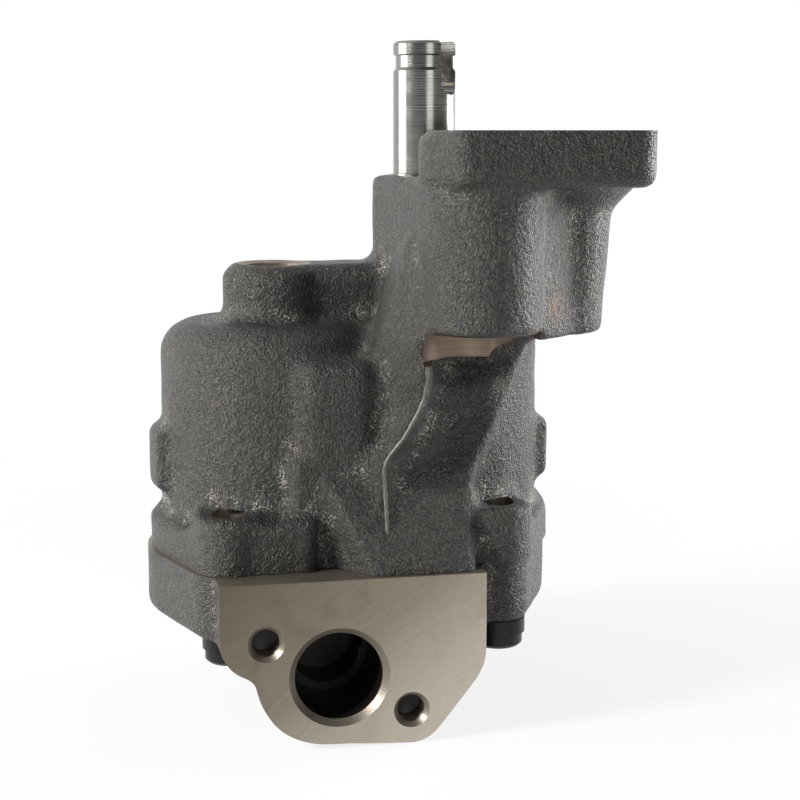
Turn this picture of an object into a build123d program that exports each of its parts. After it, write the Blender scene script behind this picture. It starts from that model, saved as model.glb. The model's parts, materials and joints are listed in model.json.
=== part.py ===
# Spur-gear engine oil pump with a mounting pad on its neck and a cover for a bolt-on pickup.
# The frame: the origin is on the axis of the drive shaft, at the level of the mounting face.
# +Z points up along the shaft, +X runs from the idler gear to the drive gear, and the machined
# pickup face looks along -Y. All sizes are in millimetres.
from build123d import *
import math
import os

# ------------------------------------------------------------------ gears and shafts
shaft_dia = 12.7
shaft_end_relief = 0.35
shaft_end_gap_above_boss = 0.5
running_clearance = 0.03
gear_teeth = 12
gear_module = 2.54
gear_length = 33.0
pressure_angle = 25.0
gear_backlash = 0.16
gear_end_clearance = 0.08
gear_tip_clearance = 0.12
gear_pin_dia = 4.0
gear_pin_recess = 0.8
drive_shaft_top = 17.3
slot_width = 5.5
slot_depth = 10.5
slot_turn = 46.0
groove_height = 2.4
groove_depth = 0.5
collar_height = 2.7
shaft_chamfer = 0.5
gear_pin_chamfer = 0.3
tooth_foot_overlap = 0.6

# ------------------------------------------------------------------ housing
pocket_top = -48.92
case_wall = 4.8
flange_wall = 7.4
shoulder_z = -37.0
shoulder_radius = 6.5
drive_boss_top = -8.9
drive_boss_wall = 4.0
idler_boss_top = -26.0
idler_boss_wall = 3.85
idler_boss_edge = 2.0
idler_hole_depth = 2.2
web_end_radius = 7.5
flange_height = 6.4
ledge_thickness = 5.0
ledge_reach = 2.6
boss_edge_radius = 1.5
neck_web_radius = 8.0
neck_web_setback = 1.0
neck_web_top = -9.5
buttress_front = 22.0
buttress_back = 12.2
buttress_nose = 3.0
buttress_left_x = -17.0
buttress_neck_x = -6.8
buttress_neck_front_x = -3.2
buttress_neck_y = -23.0
buttress_shoulder_x = -13.5
buttress_shoulder_z = -38.3
buttress_lip_x = -16.0
buttress_lip_y = -28.2
buttress_lip_z = -47.5
buttress_right_x = -5.2
buttress_reach_y = -29.2
buttress_waist_x = -9.5
buttress_waist_y = -25.0
buttress_waist_height = 23.0
buttress_foot_x = -13.0
buttress_foot_y = -24.4
buttress_top = -17.0
buttress_foot_height = 12.0
bulge_x = -22.0
bulge_width = 17.0
bulge_depth = 20.0
bulge_reach = 2.9
bulge_corner_radius = 5.0
bulge_edge_radius = 3.0
bulge_top = -43.0
bulge_foot_height = 12.0
foot_left_x = -27.5
foot_shoulder_y = -19.0
foot_corner_x = -16.0
foot_right_x = 3.2
foot_setback = 1.0
foot_top_inset = 1.0
foot_top_front_gap = 0.5
chute_left_x = -9.0
chute_right_x = 17.5
chute_foot_height = 20.0
chute_low_y = -22.0
chute_wall = 2.9
rear_bulge_radius = 10.5
rear_bulge_top = -34.0
end_tab_width = 14.0
end_tab_height = 23.5
end_tab_length = 11.0

# ------------------------------------------------------------------ mounting pad and neck
pad_thickness = 10.4
pad_front_y = -41.3
pad_right_x = 35.2
pad_corner_radius = 4.0
pad_left_corner_radius = 3.3
pad_left_corner_x = -0.5
pad_rear_x = 41.0
pad_rear_radius = 9.5
pad_left_wall = 5.45
pad_port_wall = 4.6
pad_edge_drop = 1.8
pad_fillet = 2.5
pad_flare = 4.5
bolt_x = 5.0
bolt_y = -29.0
bolt_hole_dia = 13.5
bolt_boss_wall = 4.45
spotface_overcut = 0.25
spotface_z = -37.3
spotface_depth = 6.2
outlet_x = 24.0
outlet_y = -11.0
outlet_port_dia = 16.0
outlet_port_depth = 14.0
outlet_drop_dia = 11.0
outlet_drop_depth = 27.0
outlet_column_wall = 3.7
outlet_column_bottom = -39.5
outlet_column_taper = 4.5

# ------------------------------------------------------------------ passages
gallery_width = 9.0
gallery_corner = 3.0
gallery_inner_y = 8.0
suction_gallery_x = -20.5
gallery_reach = 2.6
passage_dia = 10.0
passage_wall = 4.2
passage_z = -38.5
passage_turn_x = 16.0
passage_turn_y = 16.0
passage_port_overlap = 3.0

# ------------------------------------------------------------------ cover and fasteners
cover_thickness = 13.0
cover_left_overhang = 0.8
cover_right_overhang = -0.6
cover_edge_radius = 2.5
cover_bearing_wall = 3.5
shaft_end_gap = 0.5
screw_left_reach = 12.02
screw_right_reach = 10.0
screw_offset = 4.6
rear_screw_offset = 10.1
screw_dia = 6.35
screw_hole_clearance = 0.45
screw_head_reach = 1.725
screw_head_height = 3.5
screw_socket_af = 4.0
screw_socket_depth = 2.2
screw_tip_gap = 2.0
lug_wall = 3.325
lug_height = 10.6
washer_bore_clearance = 0.25
washer_width = 2.9
washer_thickness = 1.3
washer_split = 0.9
screw_head_clearance = 0.5
dowel_dia = 4.0
dowel_length = 12.0
dowel_chamfer = 0.4
screw_head_chamfer = 0.6
lug_web_reach = 0.55
washer_split_turn = 20.0

# ------------------------------------------------------------------ pickup face and inlet
pickup_face_y = -35.0
pickup_flange_thickness = 6.3
pickup_left_x = -45.7
pickup_right_x = 4.6
pickup_lobe_radius = 6.5
pickup_left_lobe_radius = 7.1
pickup_shoulder_radius = 9.4
pickup_shoulder_drop = 15.0
inlet_x = -23.5
inlet_drop = 18.7
inlet_bore_dia = 16.7
inlet_bore_depth = 18.0
inlet_chamfer = 1.2
inlet_seat_width = 1.6
inlet_passage_end_y = -8.0
inlet_barrel_wall = 4.25
inlet_lobe_extra = 0.6
inlet_barrel_end_wall = 5.0
pickup_lobe_dx = -2.4
pickup_lobe_dz = 0.4
pickup_root_radius = 1.0
pickup_root_drop = 4.0
pickup_hole_dx = 13.7
pickup_hole_dz = 7.2
pickup_hole_dia = 5.1
pickup_hole_depth = 6.2
pickup_hole_wall = 2.8
pickup_hole_chamfer = 0.75

# ------------------------------------------------------------------ relief valve
relief_washer_gap = 0.1
relief_drop = 18.5
relief_bore_dia = 12.0
relief_boss_wall = 2.05
relief_deep_end_x = -22.0
relief_seat_x = -15.0
relief_seat_width = 1.75
relief_piston_length = 12.0
relief_travel = 7.0
relief_plug_step = 1.15
relief_plug_length = 9.0
relief_boss_end_x = 20.0
relief_plug_socket_af = 8.0
relief_plug_socket_depth = 5.0
relief_plug_chamfer = 0.6
relief_boss_end_wall = 4.0
relief_crown = 3.0
relief_skirt = 1.6
feed_dia = 5.0
feed_offset = 3.0
spring_seat_gap = 0.05
spring_clearance = 0.3
spring_wire_dia = 1.4
spring_turns = 5
bypass_dia = 5.0
bypass_overlap = 4.0

# ------------------------------------------------------------------ sizes that follow
shaft_radius = shaft_dia / 2
shaft_end_radius = shaft_radius - shaft_end_relief / 2
drive_boss_radius = shaft_radius + drive_boss_wall
idler_boss_radius = shaft_radius + idler_boss_wall
bore_radius = shaft_radius + running_clearance
centre_distance = gear_teeth * gear_module
idler_x = -centre_distance
screw_left_x = idler_x - screw_left_reach
screw_right_x = screw_right_reach
mid_x = idler_x / 2
pitch_radius = centre_distance / 2
tip_radius = pitch_radius + gear_module
root_radius = pitch_radius - 1.25 * gear_module
pocket_radius = tip_radius + gear_tip_clearance
suction_gallery_front = -pocket_radius - gallery_reach
pressure_gallery_rear = pocket_radius + gallery_reach
screw_y = pocket_radius + screw_offset
rear_screw_y = pocket_radius + rear_screw_offset
joint_z = pocket_top - gear_length - gear_end_clearance
gear_base_z = joint_z + gear_end_clearance / 2
lug_top = joint_z + lug_height
buttress_bottom = joint_z + buttress_foot_height
buttress_waist_z = joint_z + buttress_waist_height
bulge_bottom = joint_z + bulge_foot_height
chute_low_z = joint_z + chute_foot_height
end_tab_top = joint_z + end_tab_height
end_tab_bottom = end_tab_top - end_tab_length
pickup_shoulder_z = joint_z - pickup_shoulder_drop
inlet_z = joint_z - inlet_drop
relief_z = joint_z - relief_drop
case_radius = pocket_radius + case_wall
flange_radius = pocket_radius + flange_wall
cover_bottom = joint_z - cover_thickness
cover_bearing_depth = cover_thickness - cover_bearing_wall
cover_bearing_z = joint_z - cover_bearing_depth
shaft_bottom = cover_bearing_z + shaft_end_gap
relief_plug_x = relief_boss_end_x - relief_plug_length
relief_plug_dia = relief_bore_dia + 2 * relief_plug_step
relief_boss_radius = relief_plug_dia / 2 + relief_boss_wall
relief_seat_dia = relief_bore_dia - 2 * relief_seat_width
slot_angle = math.radians(slot_turn)
slot_plane = Plane(
    origin=(0, 0, drive_shaft_top),
    x_dir=(math.cos(slot_angle), math.sin(slot_angle), 0),
    z_dir=(math.sin(slot_angle), -math.cos(slot_angle), 0),
)
pin_angle = math.radians(90 - 180 / gear_teeth)
gear_pin_plane = Plane(
    origin=(0, 0, gear_base_z + gear_length / 2),
    x_dir=(math.sin(pin_angle), -math.cos(pin_angle), 0),
    z_dir=(math.cos(pin_angle), math.sin(pin_angle), 0),
)
screw_places = {
    "front_left": (screw_left_x, -screw_y),
    "front_right": (screw_right_x, -screw_y),
    "rear_left": (screw_left_x, screw_y),
    "rear_right": (screw_right_x, screw_y),
    "rear_middle": (mid_x, rear_screw_y),
}
spotface_low_z = spotface_z - spotface_depth
bolt_boss_radius = bolt_hole_dia / 2 + bolt_boss_wall
spotface_radius = bolt_boss_radius + spotface_overcut
pad_left_radius = bolt_hole_dia / 2 + pad_left_wall
outlet_column_radius = outlet_port_dia / 2 + outlet_column_wall
buttress_sections = [
    (buttress_top, buttress_neck_x, buttress_neck_front_x, buttress_neck_y),
    (buttress_shoulder_z, buttress_shoulder_x, buttress_right_x, buttress_reach_y),
    (buttress_lip_z, buttress_lip_x, buttress_right_x, buttress_lip_y),
    (buttress_waist_z, buttress_left_x, buttress_waist_x, buttress_waist_y),
    (buttress_bottom, buttress_left_x, buttress_foot_x, buttress_foot_y),
]
lug_radius = screw_dia / 2 + lug_wall
dowel_radius_out = (pocket_radius + flange_radius) / 2
dowel_places = {
    "left": (idler_x - dowel_radius_out, 0.0),
    "right": (dowel_radius_out, 0.0),
}

screw_seat_z = cover_bottom - washer_thickness
screw_hole_dia = screw_dia + screw_hole_clearance
screw_head_dia = screw_dia + 2 * screw_head_reach
washer_bore_dia = screw_dia + washer_bore_clearance
washer_dia = washer_bore_dia + 2 * washer_width
relief_y = screw_y - washer_dia / 2 - relief_washer_gap - relief_boss_radius
inlet_passage_dia = inlet_bore_dia - 2 * inlet_seat_width
inlet_barrel_radius = inlet_bore_dia / 2 + inlet_barrel_wall
inlet_lobe_radius = inlet_barrel_radius + inlet_lobe_extra
pickup_hole_places = [
    (inlet_x - pickup_hole_dx, inlet_z + pickup_hole_dz),
    (inlet_x + pickup_hole_dx, inlet_z - pickup_hole_dz),
]
bypass_start = Vector(relief_seat_x + relief_travel - bypass_dia / 2, relief_y, relief_z)
bypass_end = Vector(inlet_x, inlet_passage_end_y - bypass_overlap, inlet_z)
bypass_length = (bypass_end - bypass_start).length
bypass_plane = Plane(origin=bypass_start, z_dir=bypass_end - bypass_start)
spring_radius = relief_bore_dia / 2 - relief_skirt - spring_clearance - spring_wire_dia / 2
spring_length = relief_plug_x - relief_seat_x - relief_crown - spring_wire_dia - 2 * spring_seat_gap
passage_ends = [
    Location((mid_x, passage_turn_y, passage_z), (0, 90, 0)),
    Location((passage_turn_x, passage_turn_y, passage_z), (0, 90, 0)),
]
rise_start = Vector(passage_turn_x, passage_turn_y, passage_z)
rise_end = Vector(outlet_x, outlet_y, -outlet_drop_depth + passage_port_overlap)
rise_length = (rise_end - rise_start).length
rise_plane = Plane(origin=rise_start, z_dir=rise_end - rise_start)

os.makedirs("parts", exist_ok=True)


# ------------------------------------------------------------------ outlines used more than once
def end_outline(centre_x, side, grow):
    """A round end about one gear, joined by tangent lines to the two lugs beside it."""
    with BuildSketch() as outline:
        with Locations((centre_x, 0)):
            Circle(flange_radius + grow)
        with Locations(screw_places["front_" + side], screw_places["rear_" + side]):
            Circle(lug_radius + grow)
        make_hull()
    return outline.sketch


def flange_outline(left_grow=0.0, right_grow=0.0):
    """The joint face: two round ends with their lugs, the middle, and the lug at the rear."""
    with BuildSketch() as outline:
        add(end_outline(idler_x, "left", left_grow))
        add(end_outline(0, "right", right_grow))
        with Locations((mid_x, 0)):
            Rectangle(centre_distance, 2 * case_radius)
        add(hull_of(
            (mid_x, rear_screw_y, lug_radius),
            (mid_x, case_radius - lug_radius, 2 * lug_radius),
        ))
    return outline.sketch


def barrel_outline(radius):
    """Two overlapping circles about the gear axes, with the waist between them."""
    with BuildSketch() as outline:
        with Locations((idler_x, 0), (0, 0)):
            Circle(radius)
    return outline.sketch


def pad_outline():
    """The mounting pad: round about the bolt, square at the front, clear of the shaft's coupling."""
    with BuildSketch() as outline:
        with Locations((bolt_x, bolt_y)):
            Circle(pad_left_radius)
        with Locations((pad_left_corner_x, pad_front_y + pad_left_corner_radius)):
            Circle(pad_left_corner_radius)
        with Locations((pad_right_x - pad_corner_radius, pad_front_y + pad_corner_radius)):
            Circle(pad_corner_radius)
        with Locations((outlet_x, outlet_y)):
            Circle(outlet_port_dia / 2 + pad_port_wall)
        with Locations((pad_rear_x - pad_rear_radius, outlet_y)):
            Circle(pad_rear_radius)
        make_hull()
    return outline.sketch


def hull_of(*circles):
    """The tangent outline about some circles, each given as x, y and radius."""
    with BuildSketch() as outline:
        for x, y, radius in circles:
            with Locations((x, y)):
                Circle(radius)
        make_hull()
    return outline.sketch


def gear_outline(turn):
    """A pump gear's outline: a root disc and twelve teeth with involute flanks."""
    base_radius = pitch_radius * math.cos(math.radians(pressure_angle))
    thickness_angle = (math.pi * gear_module - gear_backlash) / (4 * pitch_radius)

    def roll(radius):
        slope = math.sqrt(max((radius / base_radius) ** 2 - 1, 0))
        return slope - math.atan(slope)

    pitch_roll = roll(pitch_radius)
    radii = [base_radius, (base_radius + tip_radius) / 2, tip_radius]
    half_angles = [thickness_angle + pitch_roll - roll(radius) for radius in radii]
    low = [(r * math.cos(a), -r * math.sin(a)) for r, a in zip(radii, half_angles)]
    high = [(x, -y) for x, y in low]
    inner = root_radius - tooth_foot_overlap
    inner_angle = half_angles[0]
    foot_low = (inner * math.cos(inner_angle), -inner * math.sin(inner_angle))
    foot_high = (foot_low[0], -foot_low[1])
    with BuildSketch() as outline:
        Circle(root_radius)
        with PolarLocations(0, gear_teeth, start_angle=turn):
            with BuildSketch(mode=Mode.PRIVATE) as tooth:
                with BuildLine():
                    Line(foot_high, foot_low)
                    Line(foot_low, low[0])
                    ThreePointArc(*low)
                    ThreePointArc(low[-1], (tip_radius, 0), high[-1])
                    ThreePointArc(*reversed(high))
                    Line(high[0], foot_high)
                make_face()
            add(tooth.sketch)
    return outline.sketch


with BuildSketch() as pickup_sketch:
    with BuildSketch(mode=Mode.PRIVATE) as lower:
        with Locations((inlet_x + pickup_lobe_dx, inlet_z + pickup_lobe_dz)):
            Circle(inlet_lobe_radius)
        with Locations(pickup_hole_places[1]):
            Circle(pickup_lobe_radius)
        with Locations((pickup_right_x - pickup_shoulder_radius, pickup_shoulder_z)):
            Circle(pickup_shoulder_radius)
        with Locations((pickup_right_x - pickup_root_radius, cover_bottom + pickup_root_drop)):
            Circle(pickup_root_radius)
        make_hull()
    add(lower.sketch)
    with Locations((pickup_left_x + pickup_left_lobe_radius, pickup_hole_places[0][1] + pickup_lobe_dz)):
        Circle(pickup_left_lobe_radius)
pickup_shape = pickup_sketch.sketch

# ------------------------------------------------------------------ drive shaft
# Ground steel, with a groove and collar for the coupling sleeve and a round-bottomed slot
# across its top for the tang of the intermediate shaft.
with BuildPart() as drive_shaft:
    with BuildSketch(Plane.XZ) as profile:
        with BuildLine():
            Polyline(
                (0, shaft_bottom),
                (shaft_radius - shaft_chamfer, shaft_bottom),
                (shaft_radius, shaft_bottom + shaft_chamfer),
                (shaft_radius, drive_boss_top + shaft_end_gap_above_boss),
                (shaft_end_radius, drive_boss_top + shaft_end_gap_above_boss),
                (shaft_end_radius, drive_shaft_top - collar_height - groove_height - groove_depth),
                (shaft_end_radius - groove_depth, drive_shaft_top - collar_height - groove_height),
                (shaft_end_radius - groove_depth, drive_shaft_top - collar_height),
                (shaft_end_radius, drive_shaft_top - collar_height),
                (shaft_end_radius, drive_shaft_top - shaft_chamfer),
                (shaft_end_radius - shaft_chamfer, drive_shaft_top),
                (0, drive_shaft_top),
                close=True,
            )
        make_face()
    revolve(axis=Axis.Z)
    with BuildSketch(slot_plane):
        with Locations((0, -slot_depth + slot_width / 2)):
            Circle(slot_width / 2)
        with Locations((0, 1)):
            Rectangle(slot_width, slot_depth - slot_width / 2 + 1, align=(Align.CENTER, Align.MAX))
    extrude(amount=shaft_dia, both=True, mode=Mode.SUBTRACT)
    with BuildSketch(gear_pin_plane):
        Circle(gear_pin_dia / 2)
    extrude(amount=shaft_dia, both=True, mode=Mode.SUBTRACT)
drive_shaft.part.label = "drive_shaft"
export_step(drive_shaft.part, "parts/drive_shaft.step")

# ------------------------------------------------------------------ drive gear and its pin
with BuildPart() as drive_gear:
    with BuildSketch(Plane.XY.offset(gear_base_z)):
        add(gear_outline(0))
        Circle(shaft_radius, mode=Mode.SUBTRACT)
    extrude(amount=gear_length)
    with BuildSketch(gear_pin_plane):
        Circle(gear_pin_dia / 2)
    extrude(amount=tip_radius + 1, both=True, mode=Mode.SUBTRACT)
drive_gear.part.label = "drive_gear"
export_step(drive_gear.part, "parts/drive_gear.step")

with BuildPart() as drive_gear_pin:
    with BuildSketch(gear_pin_plane):
        Circle(gear_pin_dia / 2)
    extrude(amount=root_radius - gear_pin_recess, both=True)
    chamfer(drive_gear_pin.faces().filter_by(GeomType.PLANE).edges(), gear_pin_chamfer)
drive_gear_pin.part.label = "drive_gear_pin"
export_step(drive_gear_pin.part, "parts/drive_gear_pin.step")

# ------------------------------------------------------------------ idler gear on its fixed shaft
with BuildPart() as idler_shaft:
    with BuildSketch(Plane.XY.offset(shaft_bottom)):
        with Locations((idler_x, 0)):
            Circle(shaft_radius)
    extrude(amount=idler_boss_top - idler_hole_depth - shaft_bottom)
    chamfer(idler_shaft.faces().filter_by(Axis.Z).edges(), shaft_chamfer)
idler_shaft.part.label = "idler_shaft"
export_step(idler_shaft.part, "parts/idler_shaft.step")

with BuildPart() as idler_gear:
    with BuildSketch(Plane.XY.offset(gear_base_z)) as idler_profile:
        with Locations((idler_x, 0)):
            add(gear_outline(180 / gear_teeth))
            Circle(bore_radius, mode=Mode.SUBTRACT)
    extrude(amount=gear_length)
idler_gear.part.label = "idler_gear"
export_step(idler_gear.part, "parts/idler_gear.step")

# ------------------------------------------------------------------ mounting pad, before it joins the housing
# The lower edge is rounded all round, and the cast end by the shaft drops below the machined face.
with BuildPart() as pad_blank:
    with BuildSketch(Plane.XY.offset(-pad_thickness)):
        add(pad_outline())
    extrude(amount=pad_thickness)
    fillet(pad_blank.faces().sort_by(Axis.Z)[0].edges(), pad_fillet)
    with BuildSketch(Plane.XZ):
        with BuildLine():
            Polyline(
                (bolt_x - bolt_hole_dia / 2, 0),
                (bolt_x - pad_left_radius - 1, -pad_edge_drop),
                (bolt_x - pad_left_radius - 1, 1),
                (bolt_x - bolt_hole_dia / 2, 1),
                close=True,
            )
        make_face()
    extrude(amount=-pad_front_y + 1, mode=Mode.SUBTRACT)

# ------------------------------------------------------------------ housing
# One sand casting: a gear case of two barrels, a flange for the cover, bosses for both shafts,
# and a neck that carries the mounting pad, the bolt boss and the outlet column.
with BuildPart() as housing:
    with BuildSketch(Plane.XY.offset(joint_z)):
        add(barrel_outline(case_radius))
    extrude(amount=shoulder_z - joint_z)
    fillet(housing.faces().sort_by(Axis.Z)[-1].edges(), shoulder_radius)

    # Shaft bosses, and the web between them.
    with BuildSketch(Plane.XY.offset(shoulder_z - shoulder_radius)):
        with Locations((idler_x, 0)):
            Circle(idler_boss_radius)
        add(hull_of((idler_x, 0, web_end_radius), (0, 0, web_end_radius)))
    extrude(amount=idler_boss_top - shoulder_z + shoulder_radius)
    chamfer(housing.faces().sort_by(Axis.Z)[-1].edges(), idler_boss_edge)

    # The neck: the drive boss, the bolt boss and the outlet column, joined by straight walls.
    with BuildSketch(Plane.XY.offset(spotface_low_z)):
        add(hull_of((0, 0, drive_boss_radius), (bolt_x, bolt_y, bolt_boss_radius)))
    extrude(amount=drive_boss_top - spotface_z + spotface_depth)
    fillet(housing.faces().sort_by(Axis.Z)[-1].edges(), boss_edge_radius)
    with BuildSketch(Plane.XY.offset(outlet_column_bottom)):
        add(hull_of((0, 0, drive_boss_radius - neck_web_setback), (outlet_x, outlet_y, neck_web_radius)))
        add(hull_of((bolt_x, bolt_y, neck_web_radius), (outlet_x, outlet_y, neck_web_radius)))
    extrude(amount=neck_web_top - outlet_column_bottom)
    with BuildSketch(Plane.XY.offset(-pad_thickness)):
        with Locations((outlet_x, outlet_y)):
            Circle(outlet_column_radius)
    extrude(amount=pad_thickness + outlet_column_bottom, taper=outlet_column_taper)

    # The chute below the bolt, which leaves room for a wrench.
    with BuildSketch(Plane.YZ.offset(chute_left_x)):
        with BuildLine():
            Polyline(
                (-case_radius, chute_low_z),
                (chute_low_y, chute_low_z),
                (-pocket_radius - chute_wall, pocket_top),
                (bolt_y + spotface_radius, spotface_low_z),
                (bolt_y + spotface_radius, spotface_z),
                (-flange_radius, spotface_z),
                (-flange_radius, chute_low_z),
                close=True,
            )
        make_face()
    extrude(amount=chute_right_x - chute_left_x, mode=Mode.SUBTRACT)

    # The suction gallery that stands out from the front of the case.
    with BuildSketch(Plane.XY.offset(bulge_bottom)):
        with Locations((bulge_x, -case_radius + bulge_depth / 2 - bulge_reach)):
            RectangleRounded(bulge_width, bulge_depth, bulge_corner_radius)
    extrude(amount=bulge_top - bulge_bottom)
    fillet(housing.faces().filter_by(Axis.Z).filter_by(
        lambda f: abs(f.center().Z - bulge_top) < 0.01).edges().group_by(Axis.Y)[0], bulge_edge_radius)

    # The buttress that runs down from the neck to the suction gallery, widest beside the spotface.
    for z, left_x, front_x, front_y in buttress_sections:
        with BuildSketch(Plane.XY.offset(z)):
            Polygon(
                (left_x, -buttress_back),
                (left_x, -buttress_front),
                (front_x - buttress_nose, front_y),
                (front_x, front_y),
                (front_x, -buttress_back),
                align=None,
            )
    loft(ruled=True)

    # The foot of the suction gallery, and the pressure gallery at the rear.
    with BuildSketch(Plane.XY.offset(joint_z)):
        Polygon(
            (foot_left_x, -root_radius),
            (foot_left_x, foot_shoulder_y),
            (foot_corner_x, pickup_face_y + foot_setback),
            (foot_right_x, pickup_face_y + foot_setback),
            (foot_right_x, -root_radius),
            align=None,
        )
    with BuildSketch(Plane.XY.offset(chute_low_z)):
        Polygon(
            (bulge_x - bulge_width / 2 + foot_top_inset, -root_radius),
            (bulge_x - bulge_width / 2 + foot_top_inset, foot_shoulder_y),
            (bulge_x - bulge_width / 4, -case_radius - bulge_reach + foot_top_front_gap),
            (foot_right_x, chute_low_y),
            (foot_right_x, -root_radius),
            align=None,
        )
    loft(ruled=True)
    with BuildSketch(Plane.XY.offset(joint_z)):
        with Locations((mid_x, pressure_gallery_rear + passage_wall - rear_bulge_radius)):
            Circle(rear_bulge_radius)
    extrude(amount=rear_bulge_top - joint_z)

    # The flange, its lugs, and a tab on each end of the case.
    with BuildSketch(Plane.XY.offset(joint_z)):
        add(flange_outline())
        with Locations(((screw_left_x + screw_right_x) / 2, -case_radius)):
            Rectangle(
                screw_right_x - screw_left_x - 2 * lug_radius,
                2 * lug_radius,
                align=(Align.CENTER, Align.MAX),
                mode=Mode.SUBTRACT,
            )
    extrude(amount=flange_height)
    with BuildSketch(Plane.XY.offset(lug_top - ledge_thickness)):
        add(hull_of(
            (screw_left_x, -case_radius - ledge_reach + lug_radius, lug_radius),
            (foot_left_x, -case_radius - ledge_reach + lug_radius, lug_radius),
        ))
    extrude(amount=ledge_thickness)
    with BuildSketch(Plane.XY.offset(joint_z)):
        for x, y in screw_places.values():
            web_x = mid_x + lug_web_reach * (x - mid_x)
            add(hull_of((x, y, lug_radius), (web_x, lug_web_reach * y, lug_radius)))
    extrude(amount=lug_top - joint_z)
    with BuildSketch(Plane.XY.offset(end_tab_bottom)):
        add(barrel_outline(flange_radius))
        with Locations((mid_x, 0)):
            Rectangle(2 * (centre_distance + flange_radius), end_tab_width, mode=Mode.INTERSECT)
    extrude(amount=end_tab_top - end_tab_bottom)

    # The rear passage that carries oil from the pressure gallery round the drive boss.
    with BuildSketch(Plane.YZ.offset(mid_x)):
        with Locations((passage_turn_y, passage_z)):
            Circle(passage_dia / 2 + passage_wall)
    extrude(amount=passage_turn_x - mid_x)
    with Locations(*passage_ends):
        Sphere(passage_dia / 2 + passage_wall)
    with BuildSketch(rise_plane):
        Circle(passage_dia / 2 + passage_wall)
    extrude(amount=rise_length)

    # The mounting pad, and the flare of the outlet column under it.
    add(pad_blank.part)
    with Locations((outlet_x, outlet_y, -pad_thickness - pad_flare / 2)):
        Cone(outlet_column_radius, outlet_column_radius + pad_flare, pad_flare)

    # Machining: the spotface, the wrench channel, the bores and the pocket.
    with BuildSketch(Plane.XY.offset(spotface_z)):
        with Locations((bolt_x, bolt_y)):
            Circle(spotface_radius)
    extrude(amount=-spotface_depth, mode=Mode.SUBTRACT)
    with BuildSketch(Plane.XY):
        with Locations((bolt_x, bolt_y)):
            Circle(bolt_hole_dia / 2)
    extrude(amount=spotface_z, mode=Mode.SUBTRACT)
    with BuildSketch(Plane.XY.offset(drive_boss_top)):
        Circle(bore_radius)
    extrude(amount=pocket_top - drive_boss_top - 1, mode=Mode.SUBTRACT)
    with BuildSketch(Plane.XY.offset(idler_boss_top)):
        with Locations((idler_x, 0)):
            Circle(shaft_radius)
    extrude(amount=pocket_top - idler_boss_top - 1, mode=Mode.SUBTRACT)
    with BuildSketch(Plane.XY.offset(joint_z)):
        add(barrel_outline(pocket_radius))
    extrude(amount=pocket_top - joint_z, mode=Mode.SUBTRACT)

    # Cored passages: both galleries, the rear passage, and the outlet port.
    with BuildSketch(Plane.XY.offset(joint_z)):
        with Locations((suction_gallery_x, (suction_gallery_front - gallery_inner_y) / 2)):
            RectangleRounded(gallery_width, -suction_gallery_front - gallery_inner_y, gallery_corner)
        with Locations((mid_x, (pressure_gallery_rear + gallery_inner_y) / 2)):
            RectangleRounded(gallery_width, pressure_gallery_rear - gallery_inner_y, gallery_corner)
    extrude(amount=pocket_top - joint_z, mode=Mode.SUBTRACT)
    with BuildSketch(Plane.XY.offset(pocket_top)):
        with Locations((mid_x, passage_turn_y)):
            Circle(gallery_width / 2)
    extrude(amount=passage_z - pocket_top, mode=Mode.SUBTRACT)
    with BuildSketch(Plane.YZ.offset(mid_x - passage_dia / 2)):
        with Locations((passage_turn_y, passage_z)):
            Circle(passage_dia / 2)
    extrude(amount=passage_turn_x - mid_x + passage_dia / 2, mode=Mode.SUBTRACT)
    with Locations(passage_ends[1]):
        Sphere(passage_dia / 2, mode=Mode.SUBTRACT)
    with BuildSketch(rise_plane):
        Circle(passage_dia / 2)
    extrude(amount=rise_length, mode=Mode.SUBTRACT)
    with BuildSketch(Plane.XY):
        with Locations((outlet_x, outlet_y)):
            Circle(outlet_port_dia / 2)
    extrude(amount=-outlet_port_depth, mode=Mode.SUBTRACT)
    with BuildSketch(Plane.XY):
        with Locations((outlet_x, outlet_y)):
            Circle(outlet_drop_dia / 2)
    extrude(amount=-outlet_drop_depth, mode=Mode.SUBTRACT)

    # Tapped holes for the cover screws, and holes for the dowels.
    with BuildSketch(Plane.XY.offset(joint_z)):
        with Locations(*screw_places.values()):
            Circle(screw_dia / 2)
    extrude(amount=lug_top - joint_z, mode=Mode.SUBTRACT)
    with BuildSketch(Plane.XY.offset(joint_z)):
        with Locations(*dowel_places.values()):
            Circle(dowel_dia / 2)
    extrude(amount=dowel_length / 2, mode=Mode.SUBTRACT)
housing.part.label = "housing"
export_step(housing.part, "parts/housing.step")

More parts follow.
